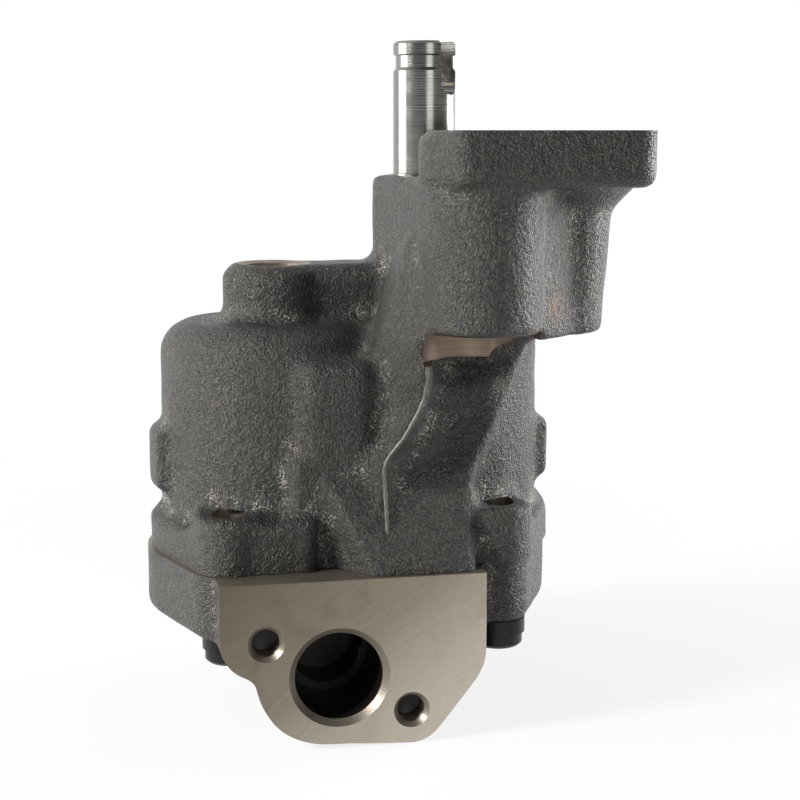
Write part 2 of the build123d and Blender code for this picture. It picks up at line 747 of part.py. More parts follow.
# ------------------------------------------------------------------ cover
# A second casting: the plate that closes the case, the pickup flange with its inlet barrel,
# blind bearings for both shafts, and the boss that holds the relief valve.
with BuildPart() as cover:
    with BuildSketch(Plane.XY.offset(joint_z)):
        add(flange_outline(cover_left_overhang, cover_right_overhang))
    extrude(amount=-cover_thickness)
    fillet(cover.faces().sort_by(Axis.Z)[0].edges(), cover_edge_radius)

    # The pickup flange: a block under the plate, round about its two bolts and the inlet.
    with BuildSketch(Plane.XZ.offset(-pickup_face_y)) as pickup_outline:
        with Locations(((pickup_left_x + pickup_right_x) / 2, joint_z)):
            Rectangle(
                pickup_right_x - pickup_left_x,
                joint_z - cover_bottom,
                align=(Align.CENTER, Align.MAX),
            )
        add(pickup_shape)
    extrude(amount=-pickup_flange_thickness)
    with BuildSketch(Plane.XY.offset(joint_z)):
        with Locations(((pickup_left_x + pickup_right_x) / 2, pickup_face_y)):
            Rectangle(
                pickup_right_x - pickup_left_x,
                -pickup_face_y,
                align=(Align.CENTER, Align.MIN),
            )
    extrude(amount=-cover_thickness)
    with BuildSketch(Plane.XZ.offset(-pickup_face_y)):
        with Locations((inlet_x, inlet_z)):
            Circle(inlet_barrel_radius)
        with Locations((inlet_x, (inlet_z + cover_bottom) / 2)):
            Rectangle(2 * inlet_barrel_radius, abs(inlet_z - cover_bottom))
    extrude(amount=pickup_face_y - inlet_passage_end_y - inlet_barrel_end_wall)

    with BuildSketch(Plane.XZ.offset(-pickup_face_y)):
        with Locations(*pickup_hole_places):
            Circle(pickup_hole_dia / 2 + pickup_hole_wall)
    extrude(amount=-pickup_hole_depth - pickup_hole_wall)
    with BuildSketch(Plane.XY.offset(cover_bottom)):
        with Locations(screw_places["front_left"], screw_places["front_right"]):
            Circle(washer_dia / 2 + screw_head_clearance)
    extrude(amount=inlet_z - cover_bottom - pickup_hole_dz, mode=Mode.SUBTRACT)

    # The relief valve boss.
    with BuildSketch(Plane.YZ.offset(relief_deep_end_x - relief_boss_end_wall)):
        with Locations((relief_y, relief_z)):
            Circle(relief_boss_radius)
        with Locations((relief_y, (relief_z + cover_bottom) / 2)):
            Rectangle(2 * relief_boss_radius, abs(relief_z - cover_bottom))
    extrude(amount=relief_boss_end_x - relief_deep_end_x + relief_boss_end_wall)

    # Machining: bearings, inlet, pickup bolt holes, relief bore, screw and dowel holes.
    with BuildSketch(Plane.XY.offset(joint_z)):
        with Locations((0, 0), (idler_x, 0)):
            Circle(bore_radius)
    extrude(amount=-cover_bearing_depth, mode=Mode.SUBTRACT)
    with BuildSketch(Plane.XZ.offset(-pickup_face_y)):
        with Locations((inlet_x, inlet_z)):
            Circle(inlet_bore_dia / 2)
    extrude(amount=-inlet_bore_depth, mode=Mode.SUBTRACT)
    with BuildSketch(Plane.XZ.offset(-pickup_face_y)):
        with Locations((inlet_x, inlet_z)):
            Circle(inlet_passage_dia / 2)
    extrude(amount=pickup_face_y - inlet_passage_end_y, mode=Mode.SUBTRACT)
    with BuildSketch(Plane.XY.offset(joint_z)):
        with Locations((suction_gallery_x, (suction_gallery_front - gallery_inner_y) / 2)):
            RectangleRounded(gallery_width, -suction_gallery_front - gallery_inner_y, gallery_corner)
    extrude(amount=inlet_z - joint_z, mode=Mode.SUBTRACT)
    with BuildSketch(Plane.XZ.offset(-pickup_face_y)):
        with Locations(*pickup_hole_places):
            Circle(pickup_hole_dia / 2)
    extrude(amount=-pickup_hole_depth, mode=Mode.SUBTRACT)
    face_rims = cover.edges().filter_by(GeomType.CIRCLE).filter_by(
        lambda e: abs(e.arc_center.Y - pickup_face_y) < 0.01 and e.is_closed)
    chamfer(face_rims.filter_by(lambda e: e.radius > pickup_hole_dia), inlet_chamfer)
    chamfer(face_rims.filter_by(lambda e: e.radius < pickup_hole_dia), pickup_hole_chamfer)
    with BuildSketch(Plane.YZ.offset(relief_seat_x)):
        with Locations((relief_y, relief_z)):
            Circle(relief_bore_dia / 2)
    extrude(amount=relief_plug_x - relief_seat_x, mode=Mode.SUBTRACT)
    with BuildSketch(Plane.YZ.offset(relief_deep_end_x)):
        with Locations((relief_y, relief_z)):
            Circle(relief_seat_dia / 2)
    extrude(amount=relief_seat_x - relief_deep_end_x, mode=Mode.SUBTRACT)
    with BuildSketch(Plane.YZ.offset(relief_boss_end_x)):
        with Locations((relief_y, relief_z)):
            Circle(relief_plug_dia / 2)
    extrude(amount=-relief_plug_length, mode=Mode.SUBTRACT)
    with BuildSketch(Plane.XY.offset(joint_z)):
        with Locations(((relief_deep_end_x + relief_seat_x) / 2, relief_y + feed_offset)):
            Circle(feed_dia / 2)
    extrude(amount=relief_z - joint_z, mode=Mode.SUBTRACT)
    with BuildSketch(bypass_plane):
        Circle(bypass_dia / 2)
    extrude(amount=bypass_length, mode=Mode.SUBTRACT)
    with BuildSketch(Plane.XY.offset(joint_z)):
        with Locations(*screw_places.values()):
            Circle(screw_hole_dia / 2)
        with Locations(*dowel_places.values()):
            Circle(dowel_dia / 2)
    extrude(amount=-cover_thickness, mode=Mode.SUBTRACT)
cover.part.label = "cover"
export_step(cover.part, "parts/cover.step")

# ------------------------------------------------------------------ dowels, screws and lock washers
for side, place in dowel_places.items():
    with BuildPart() as dowel:
        with BuildSketch(Plane.XY.offset(joint_z - dowel_length / 2)):
            with Locations(place):
                Circle(dowel_dia / 2)
        extrude(amount=dowel_length)
        chamfer(dowel.faces().filter_by(Axis.Z).edges(), dowel_chamfer)
    dowel.part.label = "cover_dowel_" + side
    export_step(dowel.part, "parts/cover_dowel_" + side + ".step")

for name, place in screw_places.items():
    with BuildPart() as screw:
        with BuildSketch(Plane.XY.offset(screw_seat_z)):
            with Locations(place):
                Circle(screw_head_dia / 2)
        extrude(amount=-screw_head_height)
        chamfer(screw.faces().sort_by(Axis.Z)[0].edges(), screw_head_chamfer)
        with BuildSketch(Plane.XY.offset(screw_seat_z - screw_head_height)):
            with Locations(place):
                RegularPolygon(screw_socket_af / 2, 6, major_radius=False)
        extrude(amount=screw_socket_depth, mode=Mode.SUBTRACT)
        with BuildSketch(Plane.XY.offset(screw_seat_z)):
            with Locations(place):
                Circle(screw_dia / 2)
        extrude(amount=lug_top - screw_tip_gap - screw_seat_z)
    screw.part.label = "cover_screw_" + name
    export_step(screw.part, "parts/cover_screw_" + name + ".step")

    with BuildPart() as washer:
        with BuildSketch(Plane.XY.offset(cover_bottom)):
            with Locations(place):
                Circle(washer_dia / 2)
                Circle(washer_bore_dia / 2, mode=Mode.SUBTRACT)
            with Locations((place[0], place[1] + washer_dia / 2)):
                Rectangle(washer_split, washer_dia, rotation=washer_split_turn, mode=Mode.SUBTRACT)
        extrude(amount=-washer_thickness)
    washer.part.label = "lock_washer_" + name
    export_step(washer.part, "parts/lock_washer_" + name + ".step")

# ------------------------------------------------------------------ relief valve
with BuildPart() as relief_piston:
    with BuildSketch(Plane.YZ.offset(relief_seat_x)):
        with Locations((relief_y, relief_z)):
            Circle(relief_bore_dia / 2 - running_clearance)
    extrude(amount=relief_piston_length)
    with BuildSketch(Plane.YZ.offset(relief_seat_x + relief_crown)):
        with Locations((relief_y, relief_z)):
            Circle(relief_bore_dia / 2 - relief_skirt)
    extrude(amount=relief_piston_length - relief_crown, mode=Mode.SUBTRACT)
relief_piston.part.label = "relief_piston"
export_step(relief_piston.part, "parts/relief_piston.step")

with BuildPart() as relief_spring:
    with BuildLine() as coil:
        Helix(
            pitch=spring_length / spring_turns,
            height=spring_length,
            radius=spring_radius,
            center=(relief_seat_x + relief_crown + spring_wire_dia / 2 + spring_seat_gap, relief_y, relief_z),
            direction=(1, 0, 0),
        )
    with BuildSketch(Plane(origin=coil.line @ 0, z_dir=coil.line % 0)):
        RegularPolygon(spring_wire_dia / 2, 5)
    sweep()
relief_spring.part.label = "relief_spring"
export_step(relief_spring.part, "parts/relief_spring.step")

with BuildPart() as relief_plug:
    with BuildSketch(Plane.YZ.offset(relief_plug_x)):
        with Locations((relief_y, relief_z)):
            Circle(relief_plug_dia / 2)
    extrude(amount=relief_plug_length)
    chamfer(relief_plug.faces().sort_by(Axis.X)[-1].edges(), relief_plug_chamfer)
    with BuildSketch(Plane.YZ.offset(relief_boss_end_x)):
        with Locations((relief_y, relief_z)):
            RegularPolygon(relief_plug_socket_af / 2, 6, major_radius=False)
    extrude(amount=-relief_plug_socket_depth, mode=Mode.SUBTRACT)
relief_plug.part.label = "relief_plug"
export_step(relief_plug.part, "parts/relief_plug.step")
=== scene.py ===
"""The engine oil pump's finish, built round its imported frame: two sand castings, ground shafts, gears
and fasteners."""
import json
import math

import bpy
import numpy as np
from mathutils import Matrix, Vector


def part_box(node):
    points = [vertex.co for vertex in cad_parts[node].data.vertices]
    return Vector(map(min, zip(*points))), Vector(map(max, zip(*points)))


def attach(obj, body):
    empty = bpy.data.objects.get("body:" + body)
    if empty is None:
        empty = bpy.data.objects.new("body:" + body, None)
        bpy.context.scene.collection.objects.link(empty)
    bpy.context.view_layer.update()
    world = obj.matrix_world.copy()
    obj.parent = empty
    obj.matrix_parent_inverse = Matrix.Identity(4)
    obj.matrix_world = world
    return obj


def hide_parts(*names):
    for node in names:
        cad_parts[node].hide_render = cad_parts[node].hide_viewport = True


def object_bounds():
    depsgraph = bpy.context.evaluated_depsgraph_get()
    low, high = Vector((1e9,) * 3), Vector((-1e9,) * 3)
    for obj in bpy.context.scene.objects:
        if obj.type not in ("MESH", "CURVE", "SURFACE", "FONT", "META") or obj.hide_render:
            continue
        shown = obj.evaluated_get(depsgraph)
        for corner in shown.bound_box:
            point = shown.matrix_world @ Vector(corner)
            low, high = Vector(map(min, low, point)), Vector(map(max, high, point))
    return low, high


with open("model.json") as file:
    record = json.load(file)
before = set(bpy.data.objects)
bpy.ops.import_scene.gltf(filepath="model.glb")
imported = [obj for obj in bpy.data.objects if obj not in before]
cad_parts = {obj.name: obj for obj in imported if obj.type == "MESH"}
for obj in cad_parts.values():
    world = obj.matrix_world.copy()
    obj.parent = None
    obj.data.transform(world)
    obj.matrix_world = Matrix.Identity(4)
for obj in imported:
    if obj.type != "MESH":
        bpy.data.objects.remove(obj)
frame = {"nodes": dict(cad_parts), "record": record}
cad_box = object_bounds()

import openvdb
from mathutils import Matrix, Vector, noise

# ---- camera
# A short telephoto lens at the height of the mounting face, a little to the left of square on,
# so that the pickup face, the bolt boss and the outlet column are all in view.
CAMERA_AZIMUTH = math.radians(-11.603)
CAMERA_ELEVATION = math.radians(9.232)
CAMERA_DISTANCE = 0.34047
CAMERA_TARGET = Vector((-0.00491, 0.0, -0.05445))
CAMERA_LENS = 74.96

camera_data = bpy.data.cameras.new("camera")
camera_data.lens = CAMERA_LENS
camera = bpy.data.objects.new("camera", camera_data)
bpy.context.scene.collection.objects.link(camera)
backwards = Vector((math.sin(CAMERA_AZIMUTH) * math.cos(CAMERA_ELEVATION),
                    -math.cos(CAMERA_AZIMUTH) * math.cos(CAMERA_ELEVATION), math.sin(CAMERA_ELEVATION)))
camera.location = CAMERA_TARGET + backwards * CAMERA_DISTANCE
camera.rotation_euler = (-backwards).to_track_quat("-Z", "Y").to_euler()
bpy.context.scene.camera = camera

# ---- floor, light and surroundings
# A pale floor under the pump in a white room. The key light is soft and stands high on the left,
# a strip stands a little behind the pump on each side, and a weak light fills in from the front.
FLOOR_SIZE = 6.0
FLOOR_COLOUR = "#f4f3f1"
GLOW_NEAR = 0.80
GLOW_REACH = (0.08, 0.30)
ROOM_LIGHT = 0.11
FRONT_ROOM = 0.12
BACKDROP_TURN = (-0.15, 0.45)
LAMPS = {
    "key_light": {"place": (-0.60, -0.18, 0.24), "size": 0.16, "watts": 5.8},
    "left_strip": {"place": (-0.50, 0.10, 0.00), "size": 0.30, "watts": 1.5},
    "right_strip": {"place": (0.50, 0.12, 0.04), "size": 0.30, "watts": 3.4},
    "front_light": {"place": (0.12, -0.75, 0.02), "size": 0.30, "watts": 0.6},
}


def linear(hex_colour):
    """An sRGB hex colour as the linear RGBA that a shader takes."""
    channels = [int(hex_colour[i:i + 2], 16) / 255 for i in (1, 3, 5)]
    return (*[c / 12.92 if c <= 0.04045 else ((c + 0.055) / 1.055) ** 2.4 for c in channels], 1.0)


def feed(tree, node, inputs):
    """Sets a node's inputs, each by its name, or by its place where names repeat. What goes in is a value,
    a hex colour, an output, a node that stands for its first output in use, or a list of these."""
    for key, value in inputs.items():
        if isinstance(key, str):
            socket = next(each for each in node.inputs if each.name == key and each.enabled)
        else:
            socket = node.inputs[key]
        for source in value if isinstance(value, list) else [value]:
            if isinstance(source, bpy.types.Node):
                source = next(each for each in source.outputs if each.enabled)
            if isinstance(source, bpy.types.NodeSocket):
                tree.links.new(source, socket)
            else:
                socket.default_value = linear(source) if isinstance(source, str) else source


def add_node(tree, kind, inputs=None, **settings):
    """One node of a tree, with its settings and inputs."""
    made = tree.nodes.new(kind)
    for name, value in settings.items():
        setattr(made, name, value)
    feed(tree, made, inputs or {})
    return made


floor_half = FLOOR_SIZE / 2
floor_z = cad_box[0].z
floor_mesh = bpy.data.meshes.new("floor")
floor_mesh.from_pydata([(-floor_half, -floor_half, floor_z), (floor_half, -floor_half, floor_z),
                        (floor_half, floor_half, floor_z), (-floor_half, floor_half, floor_z)],
                       [], [(0, 1, 2, 3)])
floor = bpy.data.objects.new("floor", floor_mesh)
bpy.context.scene.collection.objects.link(floor)

# Matt white paint. Away from the pump it also shines to the camera, as a lit table's edge does.
floor_paint = bpy.data.materials.new("matt_white_table_paint")
floor_paint.use_nodes = True
tree = floor_paint.node_tree
tree.nodes.clear()
paths = add_node(tree, "ShaderNodeLightPath").outputs
seen = add_node(tree, "ShaderNodeMath", {0: paths["Is Camera Ray"], 1: paths["Is Glossy Ray"]},
                operation="MAXIMUM")
place = add_node(tree, "ShaderNodeTexCoord").outputs["Object"]
reach = add_node(tree, "ShaderNodeVectorMath", {0: place}, operation="LENGTH")
glow_share = add_node(tree, "ShaderNodeMapRange", {
    "Value": reach, "From Min": GLOW_REACH[0], "From Max": GLOW_REACH[1], "To Min": GLOW_NEAR},
    interpolation_type="SMOOTHSTEP")
share = add_node(tree, "ShaderNodeMath", {0: seen, 1: glow_share}, operation="MULTIPLY")
matt = add_node(tree, "ShaderNodeBsdfDiffuse", {"Color": FLOOR_COLOUR})
glow = add_node(tree, "ShaderNodeEmission", {"Color": "#ffffff", "Strength": 1.0})
mixed = add_node(tree, "ShaderNodeMixShader", {0: share, 1: matt, 2: glow})
add_node(tree, "ShaderNodeOutputMaterial", {"Surface": mixed})
floor_mesh.materials.append(floor_paint)

# Metal sees the white backdrop behind and beside the pump, and a dimmer room in front of it.
room = bpy.data.worlds.new("room")
room.use_nodes = True
tree = room.node_tree
tree.nodes.clear()
paths = add_node(tree, "ShaderNodeLightPath").outputs
seen = add_node(tree, "ShaderNodeMath", {0: paths["Is Camera Ray"], 1: paths["Is Glossy Ray"]},
                operation="MAXIMUM")
seen = add_node(tree, "ShaderNodeMath", {0: seen, 1: paths["Is Transmission Ray"]}, operation="MAXIMUM")
place = add_node(tree, "ShaderNodeTexCoord").outputs["Generated"]
facing = add_node(tree, "ShaderNodeSeparateXYZ", {0: place})
backdrop = add_node(tree, "ShaderNodeMapRange", {
    "Value": facing.outputs["Y"], "From Min": BACKDROP_TURN[0], "From Max": BACKDROP_TURN[1],
    "To Min": FRONT_ROOM, "To Max": 1.0})
shown = add_node(tree, "ShaderNodeMath", {0: backdrop, 1: paths["Is Camera Ray"]}, operation="MAXIMUM")
strength = add_node(tree, "ShaderNodeMapRange", {"Value": seen, "To Min": ROOM_LIGHT, "To Max": shown})
walls = add_node(tree, "ShaderNodeBackground", {"Color": "#ffffff", "Strength": strength})
add_node(tree, "ShaderNodeOutputWorld", {"Surface": walls})
bpy.context.scene.world = room
bpy.context.scene.view_settings.view_transform = "Standard"

for lamp_name, lamp_sizes in LAMPS.items():
    lamp_data = bpy.data.lights.new(lamp_name, "AREA")
    lamp_data.size = lamp_sizes["size"]
    lamp_data.energy = lamp_sizes["watts"]
    lamp = bpy.data.objects.new(lamp_name, lamp_data)
    bpy.context.scene.collection.objects.link(lamp)
    lamp.location = lamp_sizes["place"]
    lamp.rotation_euler = (CAMERA_TARGET - lamp.location).to_track_quat("-Z", "Y").to_euler()

# ---- housing
# Grey iron, cast in green sand and phosphated dark grey. The rough skin has rolled fillets; the
# mounting face, joint face, spotface, bores and gear pockets are cut into it, so their edges are crisp.
CAST_VOXEL = 0.0006
INNER_FILLET = 0.0020
OUTER_FILLET = 0.0010
WAVE_SIZE = 0.006
WAVE_HEIGHT = 0.00014
CREST_STEPS = 24
CREST_RISE = 0.0005
TURN_STEPS = 96
HOLE_STEPS = 48
SHARP_ANGLE = math.radians(32)

# STOCK is what the foundry leaves on a face to be machined, PLUG_GROW how much wider a plug is than
# its hole, and OVERCUT how far a cutter runs past the face that it opens.
STOCK = 0.0022
PLUG_GROW = 0.0005
OVERCUT = 0.001
HOLE_CHAMFER = 0.0005
FACE_REACH = 0.1
FACE_DEPTH = 0.01

idler_low, idler_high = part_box("idler_shaft")
gear_low, gear_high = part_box("drive_gear")
JOINT_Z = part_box("cover")[1].z
SHAFT_RADIUS = (idler_high.x - idler_low.x) / 2
IDLER_X = (idler_high.x + idler_low.x) / 2
RUNNING_GAP = 0.00003
POCKET_RADIUS = (gear_high.x - gear_low.x) / 2 + 0.00012
POCKET_TOP = gear_high.z + 0.00004
SPOTFACE_Z = -0.0373
SPOTFACE_RADIUS = 0.01145
SPOTFACE_DEPTH = 0.0062
LUG_TOP = -0.0714
DRIVE_BOSS_TOP = -0.0089
IDLER_BOSS_TOP = -0.026
BORE_PLUG_LOW = POCKET_TOP - 0.006
PORT_DEPTH = 0.014
DROP_RADIUS = 0.0055
DROP_DEPTH = 0.027
DRILL_POINT = 0.002
SCREW_RADIUS = 0.003175
DOWEL_RADIUS = 0.002
DOWEL_HOLE_DEPTH = 0.006
GALLERY_LOW = (-0.025, -0.0205)
GALLERY_HIGH = (-0.016, 0.0)
PRESSURE_LOW = (-0.01974, 0.0)
PRESSURE_HIGH = (-0.01074, 0.0205)
GALLERY_WALL = 0.002

mounts = {mount["name"]: mount for mount in frame["record"]["mounts"]}
bolt_x, bolt_y, _ = mounts["mounting_bolt"]["pos_m"]
BOLT_RADIUS = mounts["mounting_bolt"]["dims"]["r_mm"] / 1000
port_x, port_y, _ = mounts["outlet_port"]["pos_m"]
PORT_RADIUS = mounts["outlet_port"]["dims"]["r_mm"] / 1000
screw_nodes = sorted(node for node in frame["nodes"] if node.startswith("cover_screw_"))
dowel_nodes = sorted(node for node in frame["nodes"] if node.startswith("cover_dowel_"))


def centre_of(node):
    """The middle of a node's box."""
    low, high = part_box(node)
    return (low + high) / 2


def axis_of(node):
    """Where a node's upright axis meets the mounting face's level."""
    return centre_of(node).x, centre_of(node).y, 0


def placed(name, points, faces, turn=Matrix.Identity(4), place=(0, 0, 0), material=None):
    """A mesh object whose points are turned and moved, with the object itself at the origin."""
    mesh = bpy.data.meshes.new(name)
    mesh.from_pydata(points, [], faces)
    mesh.transform(Matrix.Translation(Vector(place)) @ turn)
    mesh.update()
    if material:
        mesh.materials.append(material)
    solid = bpy.data.objects.new(name, mesh)
    bpy.context.scene.collection.objects.link(solid)
    return solid


def turned(name, profile, place, axis=(0, 0, 1), material=None, steps=TURN_STEPS, groove=None):
    """A closed turned solid: profile is (radius, distance along the axis) from one end to the other.
    A groove of (pitch, depth) winds a thread into its side."""
    points, faces, rings = [], [], []
    for radius, along in profile:
        if radius == 0:
            rings.append([len(points)])
            points.append((0.0, 0.0, along))
            continue
        rings.append(list(range(len(points), len(points) + steps)))
        for i in range(steps):
            reach = radius
            if groove:
                phase = (along / groove[0] - i / steps) % 1
                reach += groove[1] * (1 - abs(2 * phase - 1))
            angle = 2 * math.pi * i / steps
            points.append((reach * math.cos(angle), reach * math.sin(angle), along))
    for low, high in zip(rings, rings[1:]):
        for i in range(steps):
            j = (i + 1) % steps
            if len(low) == 1:
                faces.append((low[0], high[j], high[i]))
            elif len(high) == 1:
                faces.append((low[i], low[j], high[0]))
            else:
                faces.append((low[i], low[j], high[j], high[i]))
    if len(rings[0]) > 1:
        faces.append(tuple(reversed(rings[0])))
    if len(rings[-1]) > 1:
        faces.append(tuple(rings[-1]))
    turn = Vector(axis).to_track_quat("Z", "Y").to_matrix().to_4x4()
    return placed(name, points, faces, turn, place, material)


def rod(name, radius, low, high, place, axis=(0, 0, 1), material=None, steps=TURN_STEPS):
    """A plain round rod from low to high along its axis."""
    return turned(name, [(radius, low), (radius, high)], place, axis, material, steps)


def plug(radius, low, high, place, axis=(0, 0, 1), grow=PLUG_GROW):
    """A rod that fills a hole of the CAD node, so that the casting comes out solid there."""
    return rod("plug", radius + grow, low, high, place, axis)


def prism(name, outline, low, high, turn=Matrix.Identity(4), place=(0, 0, 0), material=None):
    """A closed prism of an outline given as (x, y), from low to high along its own Z."""
    count = len(outline)
    points = [(x, y, z) for z in (low, high) for x, y in outline]
    faces = [tuple(reversed(range(count))), tuple(range(count, 2 * count))]
    faces += [(i, (i + 1) % count, count + (i + 1) % count, count + i) for i in range(count)]
    return placed(name, points, faces, turn, place, material)


def lofted(name, sections):
    """A closed solid through level outlines, given as (height, [(x, y), ...]) from the top down."""
    count = len(sections[0][1])
    points = [(x, y, z) for z, outline in sections for x, y in outline]
    faces = [tuple(range(count)), tuple(reversed(range(len(points) - count, len(points))))]
    for upper in range(0, len(points) - count, count):
        lower = upper + count
        for i in range(count):
            j = (i + 1) % count
            faces.append((upper + i, lower + i, lower + j, upper + j))
    return placed(name, points, faces)


def block(name, low, high, material=None):
    """A closed box from its lowest to its highest corner."""
    outline = [(low[0], low[1]), (high[0], low[1]), (high[0], high[1]), (low[0], high[1])]
    return prism(name, outline, low[2], high[2], material=material)


def arrays(mesh):
    """A mesh as numpy points and triangles."""
    mesh.calc_loop_triangles()
    points = np.empty(len(mesh.vertices) * 3, np.float32)
    mesh.vertices.foreach_get("co", points)
    triangles = np.empty(len(mesh.loop_triangles) * 3, np.int32)
    mesh.loop_triangles.foreach_get("vertices", triangles)
    return points.reshape(-1, 3), triangles.reshape(-1, 3)


def rolled(points, triangles, quads, offset):
    """The surface at a distance outside (or inside, if negative) of a closed one."""
    grid = openvdb.FloatGrid.createLevelSetFromPolygons(
        points.astype(np.float32), triangles=triangles.astype(np.uint32), quads=quads.astype(np.uint32),
        transform=openvdb.createLinearTransform(voxelSize=CAST_VOXEL), halfWidth=abs(offset) / CAST_VOXEL + 3)
    return grid.convertToPolygons(isovalue=offset, adaptivity=0.0)


def casting(name, node, plugs, machined_faces, skin):
    """The rough casting about a CAD node: its machined holes are plugged and its machined faces stand
    proud by the stock, then a ball rolls round the outside for the fillets, and inside for the edges.
    Its crest attribute is above 0 where the skin stands out and below 0 where it is hollow."""
    points, triangles = arrays(frame["nodes"][node].data)
    for axis, level, direction in machined_faces:
        on_face = np.abs(points[:, axis] - level) < 2e-5
        points[on_face, axis] += direction * STOCK
    for filler in plugs:
        more_points, more_triangles = arrays(filler.data)
        triangles = np.vstack([triangles, more_triangles + len(points)])
        points = np.vstack([points, more_points])
        bpy.data.objects.remove(filler)
    shape = rolled(points, triangles, np.empty((0, 4), np.int32), INNER_FILLET)
    shape = rolled(*shape, -INNER_FILLET - OUTER_FILLET)
    points, triangles, quads = rolled(*shape, OUTER_FILLET)
    piece = placed(name, points.tolist(), triangles.tolist() + quads.tolist(), material=skin)
    normals = np.empty(len(points) * 3, np.float32)
    piece.data.vertex_normals.foreach_get("vector", normals)
    normals = normals.reshape(-1, 3)

    edges = np.empty(len(piece.data.edges) * 2, np.int32)
    piece.data.edges.foreach_get("vertices", edges)
    edges = edges.reshape(-1, 2)
    ends, others = np.vstack([edges, edges[:, ::-1]]).T
    neighbours = np.bincount(ends, minlength=len(points))[:, None]
    smooth = points
    for _ in range(CREST_STEPS):
        smooth = np.stack([np.bincount(ends, smooth[others, i], len(points)) for i in range(3)],
                          axis=1) / neighbours
    crest = ((points - smooth) * normals).sum(axis=1) / CREST_RISE
    piece.data.attributes.new("crest", "FLOAT", "POINT").data.foreach_set("value", crest.astype(np.float32))

    waves = np.array([WAVE_HEIGHT * noise.noise(Vector(point) / WAVE_SIZE) for point in points])
    points = points + normals * waves[:, None]
    piece.data.vertices.foreach_set("co", points.astype(np.float32).ravel())
    piece.data.update()
    return piece


def machine(piece, tools):
    """Cuts each tool's shape out of the piece. The cut faces keep the tool's material."""
    for tool in tools:
        cut = piece.modifiers.new("cut", "BOOLEAN")
        cut.operation = "DIFFERENCE"
        cut.solver = "MANIFOLD"
        cut.material_mode = "TRANSFER"
        cut.object = tool
        cut_piece = piece.evaluated_get(bpy.context.evaluated_depsgraph_get())
        mesh = bpy.data.meshes.new_from_object(cut_piece)
        piece.modifiers.clear()
        piece.data = mesh
        bpy.data.objects.remove(tool)
    piece.data.polygons.foreach_set("use_smooth", [True] * len(piece.data.polygons))
    piece.data.set_sharp_from_angle(angle=SHARP_ANGLE)


def surface(name, colour, metallic, roughness):
    """A new material with these constants on its shader, and its tree, shader and Object coordinates."""
    material = bpy.data.materials.new(name)
    material.use_nodes = True
    tree = material.node_tree
    shader = tree.nodes["Principled BSDF"]
    feed(tree, shader, {"Base Color": colour, "Metallic": metallic, "Roughness": roughness})
    return material, tree, shader, add_node(tree, "ShaderNodeTexCoord").outputs["Object"]


def worked(tree, shader, shine, low, high, height, strength, relief):
    """Spreads the roughness from low to high by one pattern, and lifts the surface by another."""
    sheen = add_node(tree, "ShaderNodeMapRange", {"Value": shine, "To Min": low, "To Max": high})
    bump = add_node(tree, "ShaderNodeBump", {"Height": height, "Strength": strength, "Distance": relief})
    feed(tree, shader, {"Roughness": sheen, "Normal": bump})


def tool_rings(tree, shader, along, pitch, dark, light, detail=2.0):
    """Colours the shader in rings a pitch apart along an axis, and gives their noise back."""
    rings = add_node(tree, "ShaderNodeTexNoise", {"W": along, "Scale": 1 / pitch, "Detail": detail},
                     noise_dimensions="1D")
    ringed = add_node(tree, "ShaderNodeMix", {"Factor": rings, "A": dark, "B": light},
                      data_type="RGBA")
    feed(tree, shader, {"Base Color": ringed})
    return rings


# Phosphated sand-cast iron: near-black grey, pebbled by the sand, with a low metallic sheen where
# the fillets turn to the light. Handling has rubbed the crests' grains bright, and a spot on the
# column has rusted. The sharpest crests are lightened all round as well, partly edge wear and partly
# a painted highlight for the bright rims. The sand's grains are about 0.2 mm, and are drawn twice as coarse
# to show.
SKIN_GRAIN = 0.00040
SKIN_PEBBLE = 0.0014
SKIN_MOTTLE = 0.007
RUB_PATCH = 0.0042
PEBBLE_RELIEF = 0.0005
GRAIN_RELIEF = 0.00052
RUST_CENTRE = (0.0185, -0.0240, -0.0335)
RUST_REACH = (0.0015, 0.0045)
cast_skin, tree, shader, place = surface("phosphated_sand_cast_iron", "#32312f", 0.6, 0.42)
grain = add_node(tree, "ShaderNodeTexNoise", {"Vector": place, "Scale": 1 / SKIN_GRAIN, "Detail": 2.0,
                                              "Roughness": 0.6})
pebble = add_node(tree, "ShaderNodeTexNoise", {"Vector": place, "Scale": 1 / SKIN_PEBBLE, "Detail": 2.0})
mottle = add_node(tree, "ShaderNodeTexNoise", {"Vector": place, "Scale": 1 / SKIN_MOTTLE, "Detail": 4.0})
patch = add_node(tree, "ShaderNodeTexNoise", {"Vector": place, "Scale": 1 / RUB_PATCH, "Detail": 4.0})
crest = add_node(tree, "ShaderNodeAttribute", attribute_name="crest").outputs["Fac"]
shade = add_node(tree, "ShaderNodeMix", {"Factor": mottle, "A": "#302f2d", "B": "#444240"},
                 data_type="RGBA")
sand = add_node(tree, "ShaderNodeMapRange", {"Value": grain, "From Min": 0.42, "From Max": 0.70})
sanded = add_node(tree, "ShaderNodeMix", {"Factor": sand, "A": shade, "B": "#5b5853"}, data_type="RGBA")
proud = add_node(tree, "ShaderNodeMapRange", {"Value": crest, "From Min": 0.05, "From Max": 0.7})
touched = add_node(tree, "ShaderNodeMapRange", {"Value": patch, "From Min": 0.44, "From Max": 0.60})
rubbed = add_node(tree, "ShaderNodeMath", {0: proud, 1: touched}, operation="MULTIPLY")
speck = add_node(tree, "ShaderNodeMapRange", {"Value": grain, "From Min": 0.50, "From Max": 0.66,
                                              "To Min": 0.03})
specks = add_node(tree, "ShaderNodeMath", {0: speck, 1: rubbed}, operation="MULTIPLY")
# Edge wear and painted highlight: the sharpest crests are lightened up to a third of the way to bare metal,
# under any light.
edge = add_node(tree, "ShaderNodeMapRange", {"Value": crest, "From Min": 1.1, "From Max": 2.2,
                                             "To Max": 0.35})
wear_and_edge_highlight = add_node(tree, "ShaderNodeMath", {0: specks, 1: edge}, operation="MAXIMUM")
